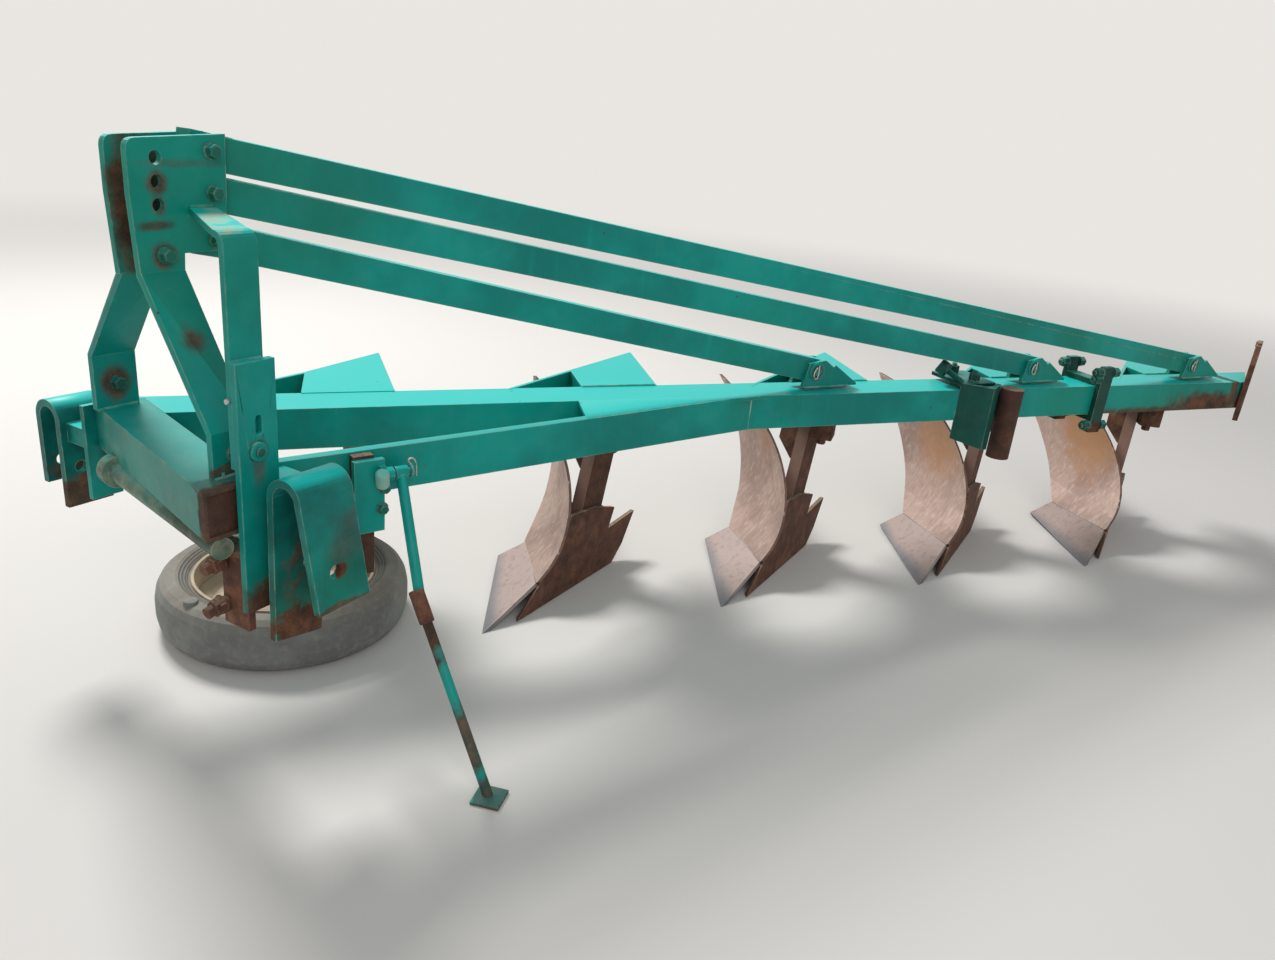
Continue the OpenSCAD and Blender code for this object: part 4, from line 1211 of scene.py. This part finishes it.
class PLOUGH_OT_body_fasteners(bpy.types.Operator):
    """Model the bolts, gussets and blocks of the four bodies"""
    bl_idname = "plough.body_fasteners"
    bl_label = "Body fasteners"

    def execute(self, context):
        rust = forged_rust("rusty_bolt_steel", 0.1)
        hexes = bolt(28 * MM, 1.2)
        block_x, block_y = 520, -60
        leg_lean = Matrix.Rotation(math.radians(16.5), 4, "Y")
        for k in (1, 2, 3, 4):
            rusty = []
            for x, z in ((560, 470), (590, 520)):
                rusty.append(put(hexes, on_body(k, x, -22.7, z), (0, -1, 0), 0.3 * k))
            rusty.append(slab((74, 74, 92), on_body(k, block_x, block_y, 486), 0.1 * k, 5))
            rusty.append(put(hexes, on_body(k, block_x, block_y, 440), (0, 0, -1), 0.4))
            rusty.append(put(hexes, on_body(k, block_x - 37, block_y - 10, 500), (-1, 0, 0), 0.4))
            gusset = slab((12, 62, 220), (0, 0, 0), 0, 2)
            cut(gusset, (0, -20 * MM, -105 * MM), (0, 0.55, -0.5))
            gusset.data.transform(Matrix.Translation(on_body(k, 512, 46, 460)) @ leg_lean)
            rusty.append(gusset)
            set_in_place("body_%d_bolts" % k, rusty, rust)
        drop(hexes)
        return {"FINISHED"}


class PLOUGH_OT_rear_end(bpy.types.Operator):
    """Model the long beam with its end cut along the line of travel, and the plate on it"""
    bl_idname = "plough.rear_end"
    bl_label = "Rear end"

    def execute(self, context):
        beam = merged_copy("main_beam", "long_beam")
        back = flat(BEAM_ANGLE)
        stub = on_beam(3670, 0, FRAME_TOP)
        longer = 0.4
        cut(beam, stub, back, False)
        bpy.ops.object.mode_set(mode="EDIT")
        pick(lambda e: e.is_boundary and all((v.co - stub).dot(back) > -MM for v in e.verts), "EDGE")
        bpy.ops.mesh.extrude_region_move(TRANSFORM_OT_translate={"value": back * longer})
        bpy.ops.object.mode_set(mode="OBJECT")
        cut(beam, at(3400, REAR_PLATE_Y, 600), (0, -1, 0), False)
        round_off(beam, sizes().edge_radius)
        stand_for(beam, "main_beam")
        wheel_plate = slab((270, 18, 290), at(3398, REAR_PLATE_Y - 11, 645), math.radians(-4), 2)
        for x, z, right, up in ((3290, 760, -0.8, 0.6), (3500, 760, 0.8, 0.6),
                                (3290, 530, -0.7, -0.7), (3500, 530, 0.7, -0.7)):
            cut(wheel_plate, at(x, REAR_PLATE_Y, z), (right, 0, up))
        parts = [wheel_plate]
        for i in range(3):
            parts.append(slab((16, 14, 22), at(3340 + 45 * i, REAR_PLATE_Y - 9, 788 - 4 * i), 0.1 * i, 2))
        set_in_place("rear_wheel_plate", parts, forged_rust("rusty_plate_steel", 0.1))
        return {"FINISHED"}


class PLOUGH_OT_wheel_details(bpy.types.Operator):
    """Model the knob on the tyre"""
    bl_idname = "plough.wheel_details"
    bl_label = "Wheel details"

    def execute(self, context):
        knob = stand(round_bar(18 * MM, 16 * MM, 28, 4 * MM), at(414, 176, 141), (0, 0, 1))
        set_in_place("tyre_knob", [knob], dusty_rubber("dusty_knob_rubber"), "wheel")
        return {"FINISHED"}


def seen_directly(tree):
    """1 for what the camera, a gloss or a pane looks at, 0 for what lights the object."""
    by_eye = node(tree, "ShaderNodeLightPath", {}, "Is Camera Ray")
    ray = by_eye.node.outputs
    by_others = node(tree, MATH, {**LARGER, 0: ray["Is Glossy Ray"], 1: ray["Is Transmission Ray"]})
    return node(tree, MATH, {**LARGER, 0: by_eye, 1: by_others})


# Lamps of the studio: name, place, watts, width
LAMPS = (("sun_side", (0.5, 5.0, 6.5), 520, 2.0),
         ("fill", (-5.0, -4.0, 4.0), 110, 4.0))
SKY = (0.93, 0.96, 1.0, 1.0)
SKY_STRENGTH = 0.42
FLOOR_WIDTH = 60
# The floor fades to the backdrop between these distances, in m
FADE_FROM, FADE_TO = 3.5, 11


class PLOUGH_OT_stage(bpy.types.Operator):
    """Set up floor, lamps, world and camera"""
    bl_idname = "plough.stage"
    bl_label = "Stage"

    def execute(self, context):
        scene = context.scene
        s = sizes()
        clear()
        bpy.ops.mesh.primitive_plane_add(size=FLOOR_WIDTH)
        floor = context.object
        floor.name = "floor"
        m, tree, shader, place = start("pale_floor")
        wide = node(tree, NOISE, {**GRAIN, "Scale": patch(900), "Detail": 2, "Vector": place})
        shade = node(tree, MIX, {**COLOURS, UNDER: linear("#d8d4ce"), UPPER: linear("#dedad5"),
                                 FACTOR: wide}, MIXED)
        finish(tree, shader, shade, 0.9)
        away = node(tree, VECTOR, {**LENGTH, 0: place}, "Value")
        far = node(tree, RANGE, {**SOFT, "Value": away, "From Min": FADE_FROM, "From Max": FADE_TO})
        haze = node(tree, MATH, {**TIMES, 0: far, 1: seen_directly(tree)})
        paper = node(tree, "ShaderNodeEmission", {"Color": s.backdrop, "Strength": 1.0})
        mixed = node(tree, "ShaderNodeMixShader", {0: haze, 1: shader.outputs[0], 2: paper})
        fill(tree, tree.nodes["Material Output"], {"Surface": mixed})
        give(floor, m)
        world = bpy.data.worlds.new("studio")
        scene.world = world
        world.use_nodes = True
        tree = world.node_tree
        light = tree.nodes["Background"]
        fill(tree, light, {"Color": SKY, "Strength": SKY_STRENGTH})
        seen = node(tree, "ShaderNodeBackground", {"Color": s.backdrop, "Strength": 1.0})
        both = node(tree, "ShaderNodeMixShader", {0: seen_directly(tree), 1: light.outputs[0], 2: seen})
        fill(tree, tree.nodes["World Output"], {"Surface": both})
        for name, place, watts, width in LAMPS:
            data = bpy.data.lights.new(name, "AREA")
            data.energy = watts
            data.size = width
            lamp = bpy.data.objects.new(name, data)
            lamp.location = place
            lamp.rotation_euler = (-Vector(place)).to_track_quat("-Z", "Y").to_euler()
            scene.collection.objects.link(lamp)
        data = bpy.data.cameras.new("camera")
        data.sensor_width = SENSOR_MM
        data.lens = s.focal_px / IMAGE_W * SENSOR_MM
        camera = bpy.data.objects.new("camera", data)
        camera.matrix_world = (
            Matrix.Translation(s.eye) @ Matrix.Rotation(s.heading, 4, "Z")
            @ Matrix.Rotation(math.pi / 2 - s.dip, 4, "X") @ Matrix.Rotation(s.roll, 4, "Z"))
        scene.collection.objects.link(camera)
        scene.camera = camera
        scene.view_settings.view_transform = "Standard"
        return {"FINISHED"}


class PLOUGH_PT_panel(bpy.types.Panel):
    """Buttons of the plough"""
    bl_label = "Plough"
    bl_space_type = "VIEW_3D"
    bl_region_type = "UI"
    bl_category = "Plough"

    def draw(self, context):
        for cls in OPERATORS:
            self.layout.operator(cls.bl_idname)


OPERATORS = (PLOUGH_OT_finishes, PLOUGH_OT_rear_end, PLOUGH_OT_channel_beam, PLOUGH_OT_open_brackets,
             PLOUGH_OT_bent_tie, PLOUGH_OT_stand_leg, PLOUGH_OT_tower_fasteners, PLOUGH_OT_brace_pins,
             PLOUGH_OT_weld_beads, PLOUGH_OT_post_details, PLOUGH_OT_stand_details,
             PLOUGH_OT_clamp_details, PLOUGH_OT_body_fasteners, PLOUGH_OT_wheel_details, PLOUGH_OT_stage)


def register():
    bpy.utils.register_class(PloughSizes)
    bpy.types.Scene.plough_sizes = bpy.props.PointerProperty(type=PloughSizes)
    for cls in OPERATORS:
        bpy.utils.register_class(cls)
    bpy.utils.register_class(PLOUGH_PT_panel)


def unregister():
    bpy.utils.unregister_class(PLOUGH_PT_panel)
    for cls in reversed(OPERATORS):
        bpy.utils.unregister_class(cls)
    del bpy.types.Scene.plough_sizes
    bpy.utils.unregister_class(PloughSizes)


def main():
    register()
    bpy.ops.plough.finishes()
    bpy.ops.plough.rear_end()
    bpy.ops.plough.channel_beam()
    bpy.ops.plough.open_brackets()
    bpy.ops.plough.bent_tie()
    bpy.ops.plough.stand_leg()
    bpy.ops.plough.tower_fasteners()
    bpy.ops.plough.brace_pins()
    bpy.ops.plough.weld_beads()
    bpy.ops.plough.post_details()
    bpy.ops.plough.stand_details()
    bpy.ops.plough.clamp_details()
    bpy.ops.plough.body_fasteners()
    bpy.ops.plough.wheel_details()
    bpy.ops.plough.stage()


if __name__ == "__main__":
    main()
